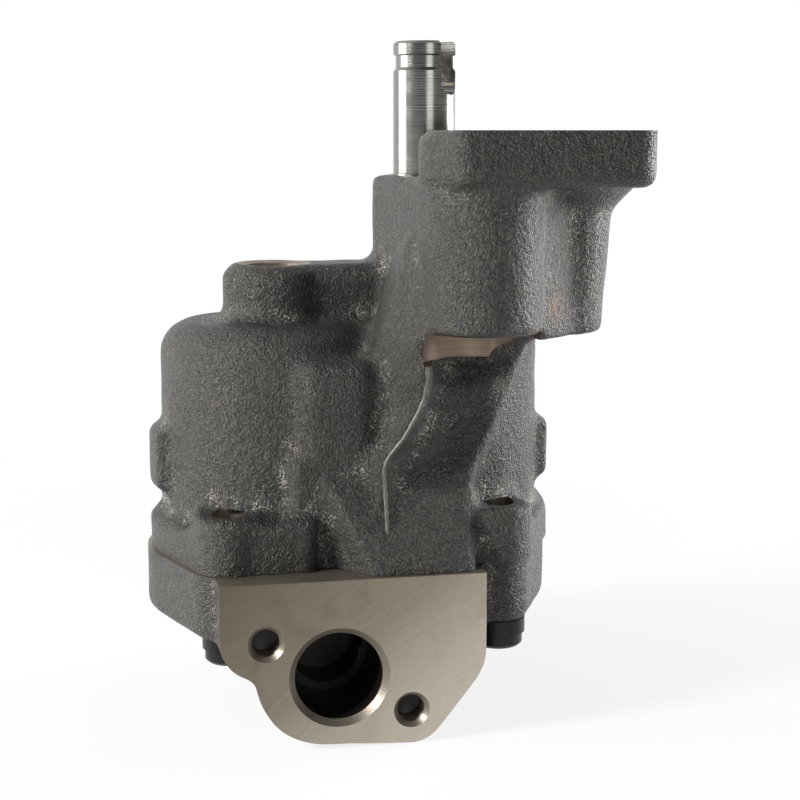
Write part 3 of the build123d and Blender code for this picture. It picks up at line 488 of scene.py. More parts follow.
worn_and_highlit = add_node(tree, "ShaderNodeMix", {"Factor": wear_and_edge_highlight, "A": sanded, "B": "#b9b4ab"}, data_type="RGBA")
away = add_node(tree, "ShaderNodeVectorMath", {0: place, 1: RUST_CENTRE}, operation="DISTANCE")
near = add_node(tree, "ShaderNodeMapRange", {
    "Value": away, "From Min": RUST_REACH[0], "From Max": RUST_REACH[1], "To Min": 1.0, "To Max": 0.0})
blotch = add_node(tree, "ShaderNodeMapRange", {"Value": pebble, "From Min": 0.42, "From Max": 0.60})
rust = add_node(tree, "ShaderNodeMath", {0: near, 1: blotch}, operation="MULTIPLY")
rusted = add_node(tree, "ShaderNodeMix", {"Factor": rust, "A": worn_and_highlit, "B": "#7d5a44"}, data_type="RGBA")
sheen = add_node(tree, "ShaderNodeMapRange", {"Value": grain, "From Min": 0.35, "From Max": 0.65,
                                              "To Min": 0.55, "To Max": 0.28})
coarse = add_node(tree, "ShaderNodeBump", {"Height": pebble, "Strength": 1.0, "Distance": PEBBLE_RELIEF})
fine = add_node(tree, "ShaderNodeBump", {"Height": grain, "Strength": 1.0, "Distance": GRAIN_RELIEF,
                                         "Normal": coarse})
feed(tree, shader, {"Base Color": rusted, "Roughness": sheen, "Normal": fine})

# Spotfaced iron: the same metal freshly cut, painted dark brown as painted shade for the hollow under
# the bolt boss, with the cutter's rings in the same shaded browns, drawn coarser than they are, to show.
SPOT_RING = 0.0005
spotfaced_iron_painted_shade, tree, shader, place = surface("spotfaced_cast_iron_painted_shade", "#7d6c5e", 0.6, 0.42)
along = add_node(tree, "ShaderNodeSeparateXYZ", {0: place}).outputs["Z"]
tool_rings(tree, shader, along, SPOT_RING, "#6d5c50", "#978474", 3.0)

# Machined cast iron: bare beige-grey metal with a dull shine, tool lines and faint brown stains. The
# lines are finer than 0.2 mm on a real face, and are drawn as 0.45 mm to show.
TOOL_LINE = 0.00045
TOOL_RELIEF = 0.0001
STAIN = 0.006
machined_iron, tree, shader, place = surface("machined_cast_iron", "#8f887d", 0.8, 0.42)
lines = add_node(tree, "ShaderNodeTexNoise", {"Vector": place, "Scale": 1 / TOOL_LINE, "Detail": 2.0})
stain = add_node(tree, "ShaderNodeTexNoise", {"Vector": place, "Scale": 1 / STAIN, "Detail": 3.0})
stained = add_node(tree, "ShaderNodeMix", {"Factor": stain, "A": "#9a9388", "B": "#7d7263"},
                   data_type="RGBA")
feed(tree, shader, {"Base Color": stained})
worked(tree, shader, lines, 0.32, 0.52, lines, 0.25, TOOL_RELIEF)

# The scoop below the mounting bolt leaves room for a socket. Its left edge is a crisp crest that winds
# down from the spotface to the joint. Each level gives the height, then the crest, the hollow's near
# side and its middle, the right ridge, and how far left of the crest the flank reaches.
SCOOP_BACK_Y = -0.012
SCOOP_FLANK_Y = -0.0225
SCOOP_LEVELS = (
    (-0.0368, (-0.0062, -0.0310), (-0.0030, -0.0280), (0.006, -0.0250), (0.0180, -0.0230), 0.0035),
    (-0.0400, (-0.0058, -0.0310), (-0.0030, -0.0220), (0.006, -0.0193), (0.0165, -0.0210), 0.0035),
    (-0.0430, (-0.0052, -0.0310), (-0.0025, -0.0190), (0.006, -0.0176), (0.0160, -0.0185), 0.0035),
    (-0.0500, (-0.0059, -0.0300), (-0.0030, -0.0218), (0.004, -0.0204), (0.0125, -0.0200), 0.0035),
    (-0.0560, (-0.0097, -0.0300), (-0.0055, -0.0230), (0.0015, -0.0215), (0.0096, -0.0218), 0.0040),
    (-0.0615, (-0.0133, -0.0285), (-0.0090, -0.0240), (-0.001, -0.0230), (0.0067, -0.0235), 0.0070),
    (-0.0660, (-0.0135, -0.0282), (-0.0095, -0.0245), (-0.001, -0.0242), (0.0045, -0.0255), 0.0100),
    (-0.0740, (-0.0136, -0.0282), (-0.0095, -0.0262), (-0.001, -0.0262), (0.0039, -0.0275), 0.0120),
    (-0.0845, (-0.0136, -0.0300), (-0.0090, -0.0285), (-0.001, -0.0285), (0.0034, -0.0292), 0.0160),
)
scoop = lofted("plug", [
    (z, [(crest[0] - flank, SCOOP_BACK_Y), (crest[0] - flank, SCOOP_FLANK_Y), crest, near, middle, ridge,
         (ridge[0], SCOOP_BACK_Y)])
    for z, crest, near, middle, ridge, flank in SCOOP_LEVELS])

# A bar joins the left lug to the bulge beside it, and the bulge reaches down to the joint.
LUG_BAR = ((-0.0430, -0.0284), (-0.0270, -0.0150))
LUG_BAR_TOP = LUG_TOP - 0.0012
BULGE_FOOT = ((-0.0305, -0.0256), (-0.0136, -0.0150))
BULGE_FOOT_TOP = -0.0620
rough_joint = JOINT_Z - STOCK
plugs = [
    scoop,
    block("plug", (*LUG_BAR[0], rough_joint), (*LUG_BAR[1], LUG_BAR_TOP)),
    block("plug", (*BULGE_FOOT[0], rough_joint), (*BULGE_FOOT[1], BULGE_FOOT_TOP)),
    plug(BOLT_RADIUS, SPOTFACE_Z + 0.0008, STOCK, (bolt_x, bolt_y, 0)),
    plug(PORT_RADIUS, -DROP_DEPTH - 0.003, STOCK, (port_x, port_y, 0)),
    plug(SHAFT_RADIUS, BORE_PLUG_LOW, DRIVE_BOSS_TOP, (0, 0, 0)),
    plug(SHAFT_RADIUS, BORE_PLUG_LOW, IDLER_BOSS_TOP, (IDLER_X, 0, 0)),
    block("plug", (GALLERY_LOW[0] - GALLERY_WALL, GALLERY_LOW[1] - GALLERY_WALL, rough_joint),
          (PRESSURE_HIGH[0] + GALLERY_WALL, PRESSURE_HIGH[1] + GALLERY_WALL, POCKET_TOP + 0.001)),
]
for gear_x in (0, IDLER_X):
    plugs.append(plug(POCKET_RADIUS, rough_joint, POCKET_TOP + PLUG_GROW, (gear_x, 0, 0), grow=0.001))
for screw in screw_nodes:
    plugs.append(plug(SCREW_RADIUS, rough_joint, LUG_TOP, axis_of(screw)))
for dowel in dowel_nodes:
    plugs.append(plug(DOWEL_RADIUS, rough_joint, JOINT_Z + DOWEL_HOLE_DEPTH + 0.002, axis_of(dowel)))
housing = casting("housing_cast", "housing", plugs, [(2, 0.0, 1), (2, JOINT_Z, -1)], cast_skin)

under_joint = JOINT_Z - OVERCUT
cuts = [
    rod("spotface", SPOTFACE_RADIUS, SPOTFACE_Z - SPOTFACE_DEPTH, SPOTFACE_Z, (bolt_x, bolt_y, 0),
        material=spotfaced_iron_painted_shade),
    block("mounting_face", (-FACE_REACH, -FACE_REACH, 0), (FACE_REACH, FACE_REACH, FACE_DEPTH),
          machined_iron),
    block("joint_face", (-FACE_REACH, -FACE_REACH, JOINT_Z - FACE_DEPTH), (FACE_REACH, FACE_REACH, JOINT_Z),
          machined_iron),
    turned("bolt_hole", [
        (BOLT_RADIUS, SPOTFACE_Z - OVERCUT), (BOLT_RADIUS, -HOLE_CHAMFER),
        (BOLT_RADIUS + 2 * HOLE_CHAMFER, HOLE_CHAMFER)], (bolt_x, bolt_y, 0), material=machined_iron),
    turned("outlet_port", [
        (0, -DROP_DEPTH - DRILL_POINT), (DROP_RADIUS, -DROP_DEPTH), (DROP_RADIUS, -PORT_DEPTH),
        (PORT_RADIUS, -PORT_DEPTH), (PORT_RADIUS, -HOLE_CHAMFER),
        (PORT_RADIUS + 2 * HOLE_CHAMFER, HOLE_CHAMFER)], (port_x, port_y, 0), material=machined_iron),
    turned("drive_bore", [
        (SHAFT_RADIUS + RUNNING_GAP, POCKET_TOP - OVERCUT),
        (SHAFT_RADIUS + RUNNING_GAP, DRIVE_BOSS_TOP - HOLE_CHAMFER),
        (SHAFT_RADIUS + 4 * HOLE_CHAMFER, DRIVE_BOSS_TOP + HOLE_CHAMFER)], (0, 0, 0), material=machined_iron),
    turned("idler_bore", [
        (SHAFT_RADIUS, POCKET_TOP - OVERCUT), (SHAFT_RADIUS, IDLER_BOSS_TOP - HOLE_CHAMFER),
        (SHAFT_RADIUS + 4 * HOLE_CHAMFER, IDLER_BOSS_TOP + HOLE_CHAMFER)], (IDLER_X, 0, 0),
        material=machined_iron),
    block("suction_gallery", (*GALLERY_LOW, under_joint), (*GALLERY_HIGH, POCKET_TOP), cast_skin),
    block("pressure_gallery", (*PRESSURE_LOW, under_joint), (*PRESSURE_HIGH, POCKET_TOP), cast_skin),
]
for gear_x in (0, IDLER_X):
    cuts.append(rod("gear_pocket", POCKET_RADIUS, under_joint, POCKET_TOP, (gear_x, 0, 0),
                    material=machined_iron))
for screw in screw_nodes:
    cuts.append(rod("tapped_hole", SCREW_RADIUS, under_joint, LUG_TOP + HOLE_CHAMFER, axis_of(screw),
                    material=machined_iron, steps=HOLE_STEPS))
for dowel in dowel_nodes:
    cuts.append(rod("dowel_hole", DOWEL_RADIUS, under_joint, JOINT_Z + DOWEL_HOLE_DEPTH, axis_of(dowel),
                    material=machined_iron, steps=HOLE_STEPS))
machine(housing, cuts)
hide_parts("housing")
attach(housing, "pump")

# Thin flash stands where the mould's halves met, along the scoop's crest. It is the same iron, rubbed a
# little, and painted lighter than the skin as a painted highlight for the bright line along the crest.
FLASH_RADIUS = 0.0005
FLASH_THINNEST = 0.45
FLASH_STEP = 0.0006
FLASH_SINK = 0.001
FLASH_SIDES = 8
WOBBLES_PER_METRE = 700.0
# Painted highlight: the flash is coloured lighter than the skin, for the bright line its crest catches.
flash_painted_highlight, tree, shader, place = surface("flash_iron_painted_highlight", "#6a665f", 0.35, 0.52)
specks = add_node(tree, "ShaderNodeTexNoise", {"Vector": place, "Scale": 1 / SKIN_GRAIN, "Detail": 2.0})
speckled = add_node(tree, "ShaderNodeMix", {"Factor": specks, "A": "#3a3835", "B": "#7d7972"},
                    data_type="RGBA")
feed(tree, shader, {"Base Color": speckled})


def sized_tree(name, sizes):
    """A new geometry tree with its places, named sizes and finish as inputs, and those inputs' outputs."""
    tree = bpy.data.node_groups.new(name, "GeometryNodeTree")
    tree.interface.new_socket("Places", in_out="INPUT", socket_type="NodeSocketGeometry")
    for size in sizes:
        tree.interface.new_socket(size, in_out="INPUT", socket_type="NodeSocketFloat")
    tree.interface.new_socket("Finish", in_out="INPUT", socket_type="NodeSocketMaterial")
    tree.interface.new_socket("Pieces", in_out="OUTPUT", socket_type="NodeSocketGeometry")
    return tree, add_node(tree, "NodeGroupInput").outputs


def end_tree(tree, given, pieces):
    """Ends a tree: what it made becomes real, takes the finish, and goes out."""
    real = add_node(tree, "GeometryNodeRealizeInstances", {"Geometry": pieces})
    painted = add_node(tree, "GeometryNodeSetMaterial", {"Geometry": real, "Material": given["Finish"]})
    add_node(tree, "NodeGroupOutput", {"Pieces": painted})


def grown(name, tree, places, sizes, finish, edges=()):
    """A plain mesh of what the tree makes at these places, in these sizes and this finish."""
    mesh = bpy.data.meshes.new(name)
    mesh.from_pydata([tuple(place) for place in places], list(edges), [])
    carrier = bpy.data.objects.new(name, mesh)
    bpy.context.scene.collection.objects.link(carrier)
    maker = carrier.modifiers.new(name, "NODES")
    maker.node_group = tree
    for item in tree.interface.items_tree:
        if item.name in sizes:
            maker[item.identifier] = sizes[item.name]
        if item.name == "Finish":
            maker[item.identifier] = finish
    made = carrier.evaluated_get(bpy.context.evaluated_depsgraph_get())
    plain = bpy.data.meshes.new_from_object(made)
    carrier.modifiers.clear()
    carrier.data = plain
    machine(carrier, [])
    return carrier


tree, given = sized_tree("flash_line", ["Radius", "Thinnest", "Step"])
line = add_node(tree, "GeometryNodeMeshToCurve", {"Mesh": given["Places"]})
line = add_node(tree, "GeometryNodeCurveSplineType", {"Curve": line}, spline_type="CATMULL_ROM")
line = add_node(tree, "GeometryNodeResampleCurve", {"Curve": line, "Length": given["Step"]}, mode="LENGTH")
wobble = add_node(tree, "ShaderNodeTexNoise", {"Scale": WOBBLES_PER_METRE, "Detail": 2.0})
thickness = add_node(tree, "ShaderNodeMapRange", {"Value": wobble, "From Min": 0.25, "From Max": 0.75,
                                                  "To Min": given["Thinnest"], "To Max": 1.0})
section = add_node(tree, "GeometryNodeCurvePrimitiveCircle", {"Resolution": FLASH_SIDES,
                                                              "Radius": given["Radius"]})
ridge = add_node(tree, "GeometryNodeCurveToMesh", {"Curve": line, "Profile Curve": section,
                                                   "Scale": thickness, "Fill Caps": True})
end_tree(tree, given, ridge)
crest_points = [Vector((crest[0], crest[1] - FLASH_SINK, z)) for z, crest, *_ in SCOOP_LEVELS[2:]]
crest_points = [housing.closest_point_on_mesh(point)[1] for point in crest_points]
crest_edges = [(i, i + 1) for i in range(len(crest_points) - 1)]
flash = grown("crest_flash", tree, crest_points, {
    "Radius": FLASH_RADIUS, "Thinnest": FLASH_THINNEST, "Step": FLASH_STEP}, flash_painted_highlight, crest_edges)
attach(flash, "pump")

# ---- cover
# A second casting of the same iron, screwed to the joint face. Its pickup face is milled flat with a
# large cutter, and the inlet, its two tapped bolt holes and the relief valve's bore are cut into it.
PICKUP_Y = mounts["pickup_face"]["pos_m"][1]
inlet_x, _, inlet_z = mounts["pickup_inlet"]["pos_m"]
INLET_RADIUS = mounts["pickup_inlet"]["dims"]["r_mm"] / 1000
INLET_DEPTH = 0.018
INLET_CHAMFER = 0.0012
INLET_PLUG_GROW = 0.0015
PASSAGE_RADIUS = INLET_RADIUS - 0.0016
PASSAGE_END_Y = -0.008
COVER_GALLERY_WALL = 0.001
PICKUP_HOLE_RADIUS = mounts["pickup_bolt_left"]["dims"]["r_mm"] / 1000
PICKUP_HOLE_DEPTH = 0.0062
PICKUP_HOLE_POINT = 0.0008
PICKUP_HOLE_CHAMFER = 0.0009
PICKUP_PLUG_GROW = 0.0012
CONE_OVERLAP = 0.0003
pickup_holes = [(mounts[hole]["pos_m"][0], PICKUP_Y, mounts[hole]["pos_m"][2])
                for hole in ("pickup_bolt_left", "pickup_bolt_right")]
THREAD_PITCH = 0.00127
THREAD_DEPTH = 0.00055
THREAD_ROWS = 8
THREAD_SINK = 0.0001
TAP_STEPS = 64
BEARING_DEPTH = 0.0095
COVER_HOLE_RADIUS = 0.0034
COVER_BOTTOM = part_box("lock_washer_rear_middle")[1].z
JOINT_GAP = 0.00008
plug_low, plug_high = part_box("relief_plug")
RELIEF_PLACE = (0, centre_of("relief_plug").y, centre_of("relief_plug").z)
RELIEF_SEAT_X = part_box("relief_piston")[0].x
RELIEF_BORE_RADIUS = 0.006
RELIEF_SEAT_RADIUS = 0.00425
RELIEF_DEEP_X = -0.022
RELIEF_PLUG_RADIUS = (plug_high.z - plug_low.z) / 2
Y_AXIS = (0, 1, 0)
X_AXIS = (1, 0, 0)

# Milled cast iron: warm bare metal that scatters light along the cutter's long arcs. Oil has stained
# it and crept in from the joint, so the upper left is browner and the lower right is clean.
CUTTER_FEED = 0.00045
CUTTER_RELIEF = 0.00012
CUTTER_CENTRE = (0.030, 0.0, -0.165)
OIL_SLANT = (0.75, 0.0, -1.0)
milled_iron, tree, shader, place = surface("face_milled_cast_iron", "#877e72", 0.9, 0.34)
centred = add_node(tree, "ShaderNodeVectorMath", {0: place, 1: CUTTER_CENTRE}, operation="SUBTRACT")
arcs = add_node(tree, "ShaderNodeTexWave", {"Vector": centred, "Scale": math.pi / 10 / CUTTER_FEED,
                                            "Distortion": 1.2, "Detail": 2.0, "Detail Scale": 0.6},
                wave_type="RINGS", rings_direction="Y")
in_plane = add_node(tree, "ShaderNodeVectorMath", {0: centred, 1: (1, 0, 1)}, operation="MULTIPLY")
radius = add_node(tree, "ShaderNodeVectorMath", {0: in_plane}, operation="LENGTH")
bands = add_node(tree, "ShaderNodeTexNoise", {"W": radius, "Scale": 1 / (2 * CUTTER_FEED), "Detail": 3.0},
                 noise_dimensions="1D")
banded = add_node(tree, "ShaderNodeMix", {"Factor": bands, "A": "#8a8175", "B": "#a59b8d"},
                  data_type="RGBA")
stain = add_node(tree, "ShaderNodeTexNoise", {"Vector": place, "Scale": 1 / STAIN, "Detail": 4.0})
spots = add_node(tree, "ShaderNodeMapRange", {"Value": stain, "From Min": 0.52, "From Max": 0.75,
                                              "To Max": 0.5})
spotted = add_node(tree, "ShaderNodeMix", {"Factor": spots, "A": banded, "B": "#6f604e"},
                   data_type="RGBA")
across = add_node(tree, "ShaderNodeVectorMath", {0: place, 1: OIL_SLANT}, operation="DOT_PRODUCT")
soak = add_node(tree, "ShaderNodeMapRange", {"Value": across, "From Min": 0.050, "From Max": 0.100,
                                             "To Min": 0.85, "To Max": 0.0})
soaked = add_node(tree, "ShaderNodeMix", {"Factor": soak, "A": spotted, "B": "#5f5548"},
                  data_type="RGBA")
clean = add_node(tree, "ShaderNodeMapRange", {"Value": across, "From Min": 0.080, "From Max": 0.112,
                                              "To Max": 0.7})
cleaned = add_node(tree, "ShaderNodeMix", {"Factor": clean, "A": soaked, "B": "#cdc5b8"},
                   data_type="RGBA")
feed(tree, shader, {"Base Color": cleaned})
worked(tree, shader, bands, 0.26, 0.48, arcs.outputs["Fac"], 0.22, CUTTER_RELIEF)

# Bored cast iron inside the inlet and the tap drillings, dark with oil and darker still with painted
# shade for the deep holes, and faintly ringed by the boring tool.
BORE_RING = 0.0011
oiled_painted_shade_bore, tree, shader, place = surface("bored_iron_oiled_painted_shade", "#24211e", 0.5, 0.38)
along = add_node(tree, "ShaderNodeSeparateXYZ", {0: place}).outputs["Y"]
tool_rings(tree, shader, along, BORE_RING, "#181613", "#302c28")

inlet_place = (inlet_x, PICKUP_Y, inlet_z)
passage_length = PASSAGE_END_Y - PICKUP_Y
rough_top = JOINT_Z + STOCK
plugs = [
    plug(INLET_RADIUS, -STOCK, passage_length + 0.001, inlet_place, Y_AXIS, INLET_PLUG_GROW),
    plug(RELIEF_BORE_RADIUS, RELIEF_DEEP_X - 0.001, plug_low.x, RELIEF_PLACE, X_AXIS),
    plug(RELIEF_PLUG_RADIUS, plug_low.x - PLUG_GROW, plug_high.x, RELIEF_PLACE, X_AXIS),
    block("plug", (GALLERY_LOW[0] - COVER_GALLERY_WALL, GALLERY_LOW[1] - COVER_GALLERY_WALL, inlet_z),
          (GALLERY_HIGH[0] + COVER_GALLERY_WALL, PASSAGE_END_Y + COVER_GALLERY_WALL, rough_top)),
]
for gear_x in (0, IDLER_X):
    plugs.append(plug(SHAFT_RADIUS, JOINT_Z - BEARING_DEPTH - PLUG_GROW, rough_top, (gear_x, 0, 0)))
for hole in pickup_holes:
    plugs.append(plug(PICKUP_HOLE_RADIUS, -STOCK, PICKUP_HOLE_DEPTH, hole, Y_AXIS, PICKUP_PLUG_GROW))
for node in screw_nodes + dowel_nodes:
    plugs.append(plug(COVER_HOLE_RADIUS, COVER_BOTTOM, rough_top, axis_of(node)))
cover = casting("cover_cast", "cover", plugs, [(2, JOINT_Z, 1), (1, PICKUP_Y, -1)], cast_skin)

over_joint = JOINT_Z + OVERCUT
cuts = [
    block("joint_face", (-FACE_REACH, -FACE_REACH, JOINT_Z - JOINT_GAP),
          (FACE_REACH, FACE_REACH, JOINT_Z + FACE_DEPTH), machined_iron),
    block("pickup_face", (-FACE_REACH, PICKUP_Y - FACE_DEPTH, -2 * FACE_REACH), (FACE_REACH, PICKUP_Y, 0),
          milled_iron),
    turned("inlet_chamfer", [(INLET_RADIUS + 2 * INLET_CHAMFER, -INLET_CHAMFER),
                             (INLET_RADIUS - 0.0005, INLET_CHAMFER + 0.0005)],
           inlet_place, Y_AXIS, machined_iron),
    turned("inlet", [(INLET_RADIUS, 0), (INLET_RADIUS, INLET_DEPTH), (PASSAGE_RADIUS, INLET_DEPTH),
                     (PASSAGE_RADIUS, passage_length)], inlet_place, Y_AXIS, oiled_painted_shade_bore),
    block("suction_gallery", (*GALLERY_LOW, inlet_z), (GALLERY_HIGH[0], PASSAGE_END_Y, over_joint),
          cast_skin),
    turned("relief_bore", [
        (RELIEF_SEAT_RADIUS, RELIEF_DEEP_X), (RELIEF_SEAT_RADIUS, RELIEF_SEAT_X),
        (RELIEF_BORE_RADIUS, RELIEF_SEAT_X), (RELIEF_BORE_RADIUS, plug_low.x),
        (RELIEF_PLUG_RADIUS, plug_low.x), (RELIEF_PLUG_RADIUS, plug_high.x - HOLE_CHAMFER),
        (RELIEF_PLUG_RADIUS + 2 * HOLE_CHAMFER, plug_high.x + HOLE_CHAMFER)],
        RELIEF_PLACE, X_AXIS, machined_iron),
]
for gear_x in (0, IDLER_X):
    cuts.append(rod("bearing", SHAFT_RADIUS + RUNNING_GAP, JOINT_Z - BEARING_DEPTH, over_joint,
                    (gear_x, 0, 0), material=machined_iron))
tap_rows = int(PICKUP_HOLE_DEPTH / THREAD_PITCH * THREAD_ROWS) - 6
tap_profile = [(PICKUP_HOLE_RADIUS - THREAD_SINK, THREAD_SINK + i * THREAD_PITCH / THREAD_ROWS)
               for i in range(tap_rows)]
for hole in pickup_holes:
    cuts.append(turned("tap_drill", [
        (PICKUP_HOLE_RADIUS, 0), (PICKUP_HOLE_RADIUS, PICKUP_HOLE_CHAMFER),
        (PICKUP_HOLE_RADIUS, PICKUP_HOLE_DEPTH - PICKUP_HOLE_POINT), (0, PICKUP_HOLE_DEPTH)],
        hole, Y_AXIS, oiled_painted_shade_bore, TAP_STEPS))
    cuts.append(turned("tap_lead", [
        (PICKUP_HOLE_RADIUS + 2 * PICKUP_HOLE_CHAMFER, -PICKUP_HOLE_CHAMFER),
        (PICKUP_HOLE_RADIUS - CONE_OVERLAP, PICKUP_HOLE_CHAMFER + CONE_OVERLAP)],
        hole, Y_AXIS, machined_iron, TAP_STEPS))
    cuts.append(turned("tap", tap_profile, hole, Y_AXIS, machined_iron, TAP_STEPS,
                       (THREAD_PITCH, THREAD_DEPTH)))
for screw in screw_nodes:
    cuts.append(rod("screw_hole", COVER_HOLE_RADIUS, COVER_BOTTOM - OVERCUT, over_joint, axis_of(screw),
                    material=machined_iron, steps=HOLE_STEPS))
for dowel in dowel_nodes:
    cuts.append(rod("dowel_hole", DOWEL_RADIUS, COVER_BOTTOM - OVERCUT, over_joint, axis_of(dowel),
                    material=machined_iron, steps=HOLE_STEPS))
machine(cover, cuts)
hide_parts("cover")
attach(cover, "pump")

# ---- drive shaft
# Medium-carbon steel, hardened and ground. The exposed end is relieved for the coupling sleeve and
# has a groove, a collar and a round-bottomed slot, which are turned and milled before grinding.
SHAFT_BOTTOM, SHAFT_TOP = (corner.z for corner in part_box("drive_shaft"))
END_RADIUS = mounts["drive_shaft_end"]["dims"]["r_mm"] / 1000
END_START_Z = -0.0084
COLLAR_HEIGHT = 0.0027
GROOVE_HEIGHT = 0.0024
GROOVE_DEPTH = 0.0005
SHAFT_CHAMFER = 0.0005
EDGE_BREAK = 0.00015
SHAFT_STEPS = 160
SLOT_HALF = 0.00275
SLOT_DEPTH = 0.0105
SLOT_TURN = math.radians(46)
PIN_RADIUS = 0.002
PIN_TURN = math.radians(75)
CROSS_REACH = 0.01
PIN_REACH = 0.008

# Ground steel: a bright mirror drawn out into fine rings round the axis, which break its highlights.
# A grinding line is under 0.05 mm, and is drawn as 0.3 mm to show.
GRIND_LINE = 0.00030
GRIND_RELIEF = 0.00005
SMEARS_PER_METRE = 220.0
ground_steel, tree, shader, place = surface("ground_hardened_steel", "#8e8c89", 1.0, 0.2)
along = add_node(tree, "ShaderNodeSeparateXYZ", {0: place}).outputs["Z"]
rings = tool_rings(tree, shader, along, GRIND_LINE, "#7f7d7a", "#a19f9b")
smear = add_node(tree, "ShaderNodeTexNoise", {"Vector": place, "Scale": SMEARS_PER_METRE, "Detail": 3.0})
worked(tree, shader, smear, 0.12, 0.3, rings, 0.25, GRIND_RELIEF)

groove_high = SHAFT_TOP - COLLAR_HEIGHT
groove_low = groove_high - GROOVE_HEIGHT
groove_radius = END_RADIUS - GROOVE_DEPTH
drive_shaft = turned("drive_shaft_ground", [
    (SHAFT_RADIUS - SHAFT_CHAMFER, SHAFT_BOTTOM), (SHAFT_RADIUS, SHAFT_BOTTOM + SHAFT_CHAMFER),
    (SHAFT_RADIUS, END_START_Z - EDGE_BREAK), (END_RADIUS, END_START_Z),
    (END_RADIUS, groove_low - GROOVE_DEPTH - EDGE_BREAK),
    (END_RADIUS - EDGE_BREAK, groove_low - GROOVE_DEPTH),
    (groove_radius, groove_low), (groove_radius, groove_high - EDGE_BREAK),
    (groove_radius + EDGE_BREAK, groove_high), (END_RADIUS - EDGE_BREAK, groove_high),
    (END_RADIUS, groove_high + EDGE_BREAK), (END_RADIUS, SHAFT_TOP - SHAFT_CHAMFER),
    (END_RADIUS - SHAFT_CHAMFER, SHAFT_TOP)], (0, 0, 0), material=ground_steel, steps=SHAFT_STEPS)
slot_bottom_z = SHAFT_TOP - SLOT_DEPTH + SLOT_HALF
machine(drive_shaft, [
    prism("slot", [(-CROSS_REACH, -SLOT_HALF), (CROSS_REACH, -SLOT_HALF), (CROSS_REACH, SLOT_HALF),
                   (-CROSS_REACH, SLOT_HALF)], slot_bottom_z, SHAFT_TOP + OVERCUT,
          Matrix.Rotation(SLOT_TURN - math.pi / 2, 4, "Z"), material=ground_steel),
    rod("slot_bottom", SLOT_HALF, -CROSS_REACH, CROSS_REACH, (0, 0, slot_bottom_z),
        (math.sin(SLOT_TURN), -math.cos(SLOT_TURN), 0), ground_steel),
    rod("pin_hole", PIN_RADIUS, -PIN_REACH, PIN_REACH, centre_of("drive_gear_pin"),
        (math.cos(PIN_TURN), math.sin(PIN_TURN), 0), ground_steel, HOLE_STEPS),
])
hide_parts("drive_shaft")
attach(drive_shaft, "drive")

# ---- idler shaft
# A plain ground pin of the same steel, pressed into the housing and left a little below its boss.
idler_shaft = turned("idler_shaft_ground", [
    (SHAFT_RADIUS - SHAFT_CHAMFER, idler_low.z), (SHAFT_RADIUS, idler_low.z + SHAFT_CHAMFER),
    (SHAFT_RADIUS, idler_high.z - SHAFT_CHAMFER), (SHAFT_RADIUS - SHAFT_CHAMFER, idler_high.z)],
    (IDLER_X, 0, 0), material=ground_steel)
machine(idler_shaft, [])
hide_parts("idler_shaft")
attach(idler_shaft, "pump")

# ---- gears, gear pin and dowels
# Two hobbed and shaved spur gears of case-hardened steel, a cross pin that drives one of them, and
# two hardened dowels that line the cover up. All are inside the pump and keep their exact shapes.
SHAVE_LINE = 0.0004
SHAVE_RELIEF = 0.00005


def bare_steel(name, colour, roughness):
    """Machined bare steel, whose shine is broken by short tool lines that run no one way. They are
    drawn coarser than they are, to show."""
    material, tree, shader, place = surface(name, colour, 1.0, roughness)
    lines = add_node(tree, "ShaderNodeTexNoise", {"Vector": place, "Scale": 1 / SHAVE_LINE, "Detail": 2.0})
    worked(tree, shader, lines, roughness - 0.1, roughness + 0.12, lines, 0.12, SHAVE_RELIEF)
    return material


def give(node, material):
    """A CAD node's own mesh in a new finish."""
    mesh = frame["nodes"][node].data
    mesh.materials.clear()
    mesh.materials.append(material)


gear_steel = bare_steel("shaved_gear_steel", "#7c7a76", 0.34)
pin_steel = bare_steel("hardened_pin_steel", "#8a8884", 0.26)
for node in ("drive_gear", "idler_gear"):
    give(node, gear_steel)
for node in ["drive_gear_pin"] + dowel_nodes:
    give(node, pin_steel)

# ---- relief valve
# A ground steel piston on a spring of oil-tempered wire, held in its bore by a screwed plug with a
# hexagon socket. The piston and spring are inside the cover and keep their exact shapes.
give("relief_piston", bare_steel("ground_piston_steel", "#918f8b", 0.24))
give("relief_spring", bare_steel("oil_tempered_spring_wire", "#4c4a47", 0.38))

# Black oxide on steel: a thin dark blue-black skin that keeps the metal's sheen in soft patches.
OXIDE_MOTTLE = 0.0012
black_oxide, tree, shader, place = surface("black_oxide_steel", "#1b1b1c", 0.7, 0.36)
mottle = add_node(tree, "ShaderNodeTexNoise", {"Vector": place, "Scale": 1 / OXIDE_MOTTLE, "Detail": 3.0})
mottled = add_node(tree, "ShaderNodeMix", {"Factor": mottle, "A": "#141415", "B": "#2e2e2f"},
                   data_type="RGBA")
sheen = add_node(tree, "ShaderNodeMapRange", {"Value": mottle, "To Min": 0.26, "To Max": 0.5})
feed(tree, shader, {"Base Color": mottled, "Roughness": sheen})

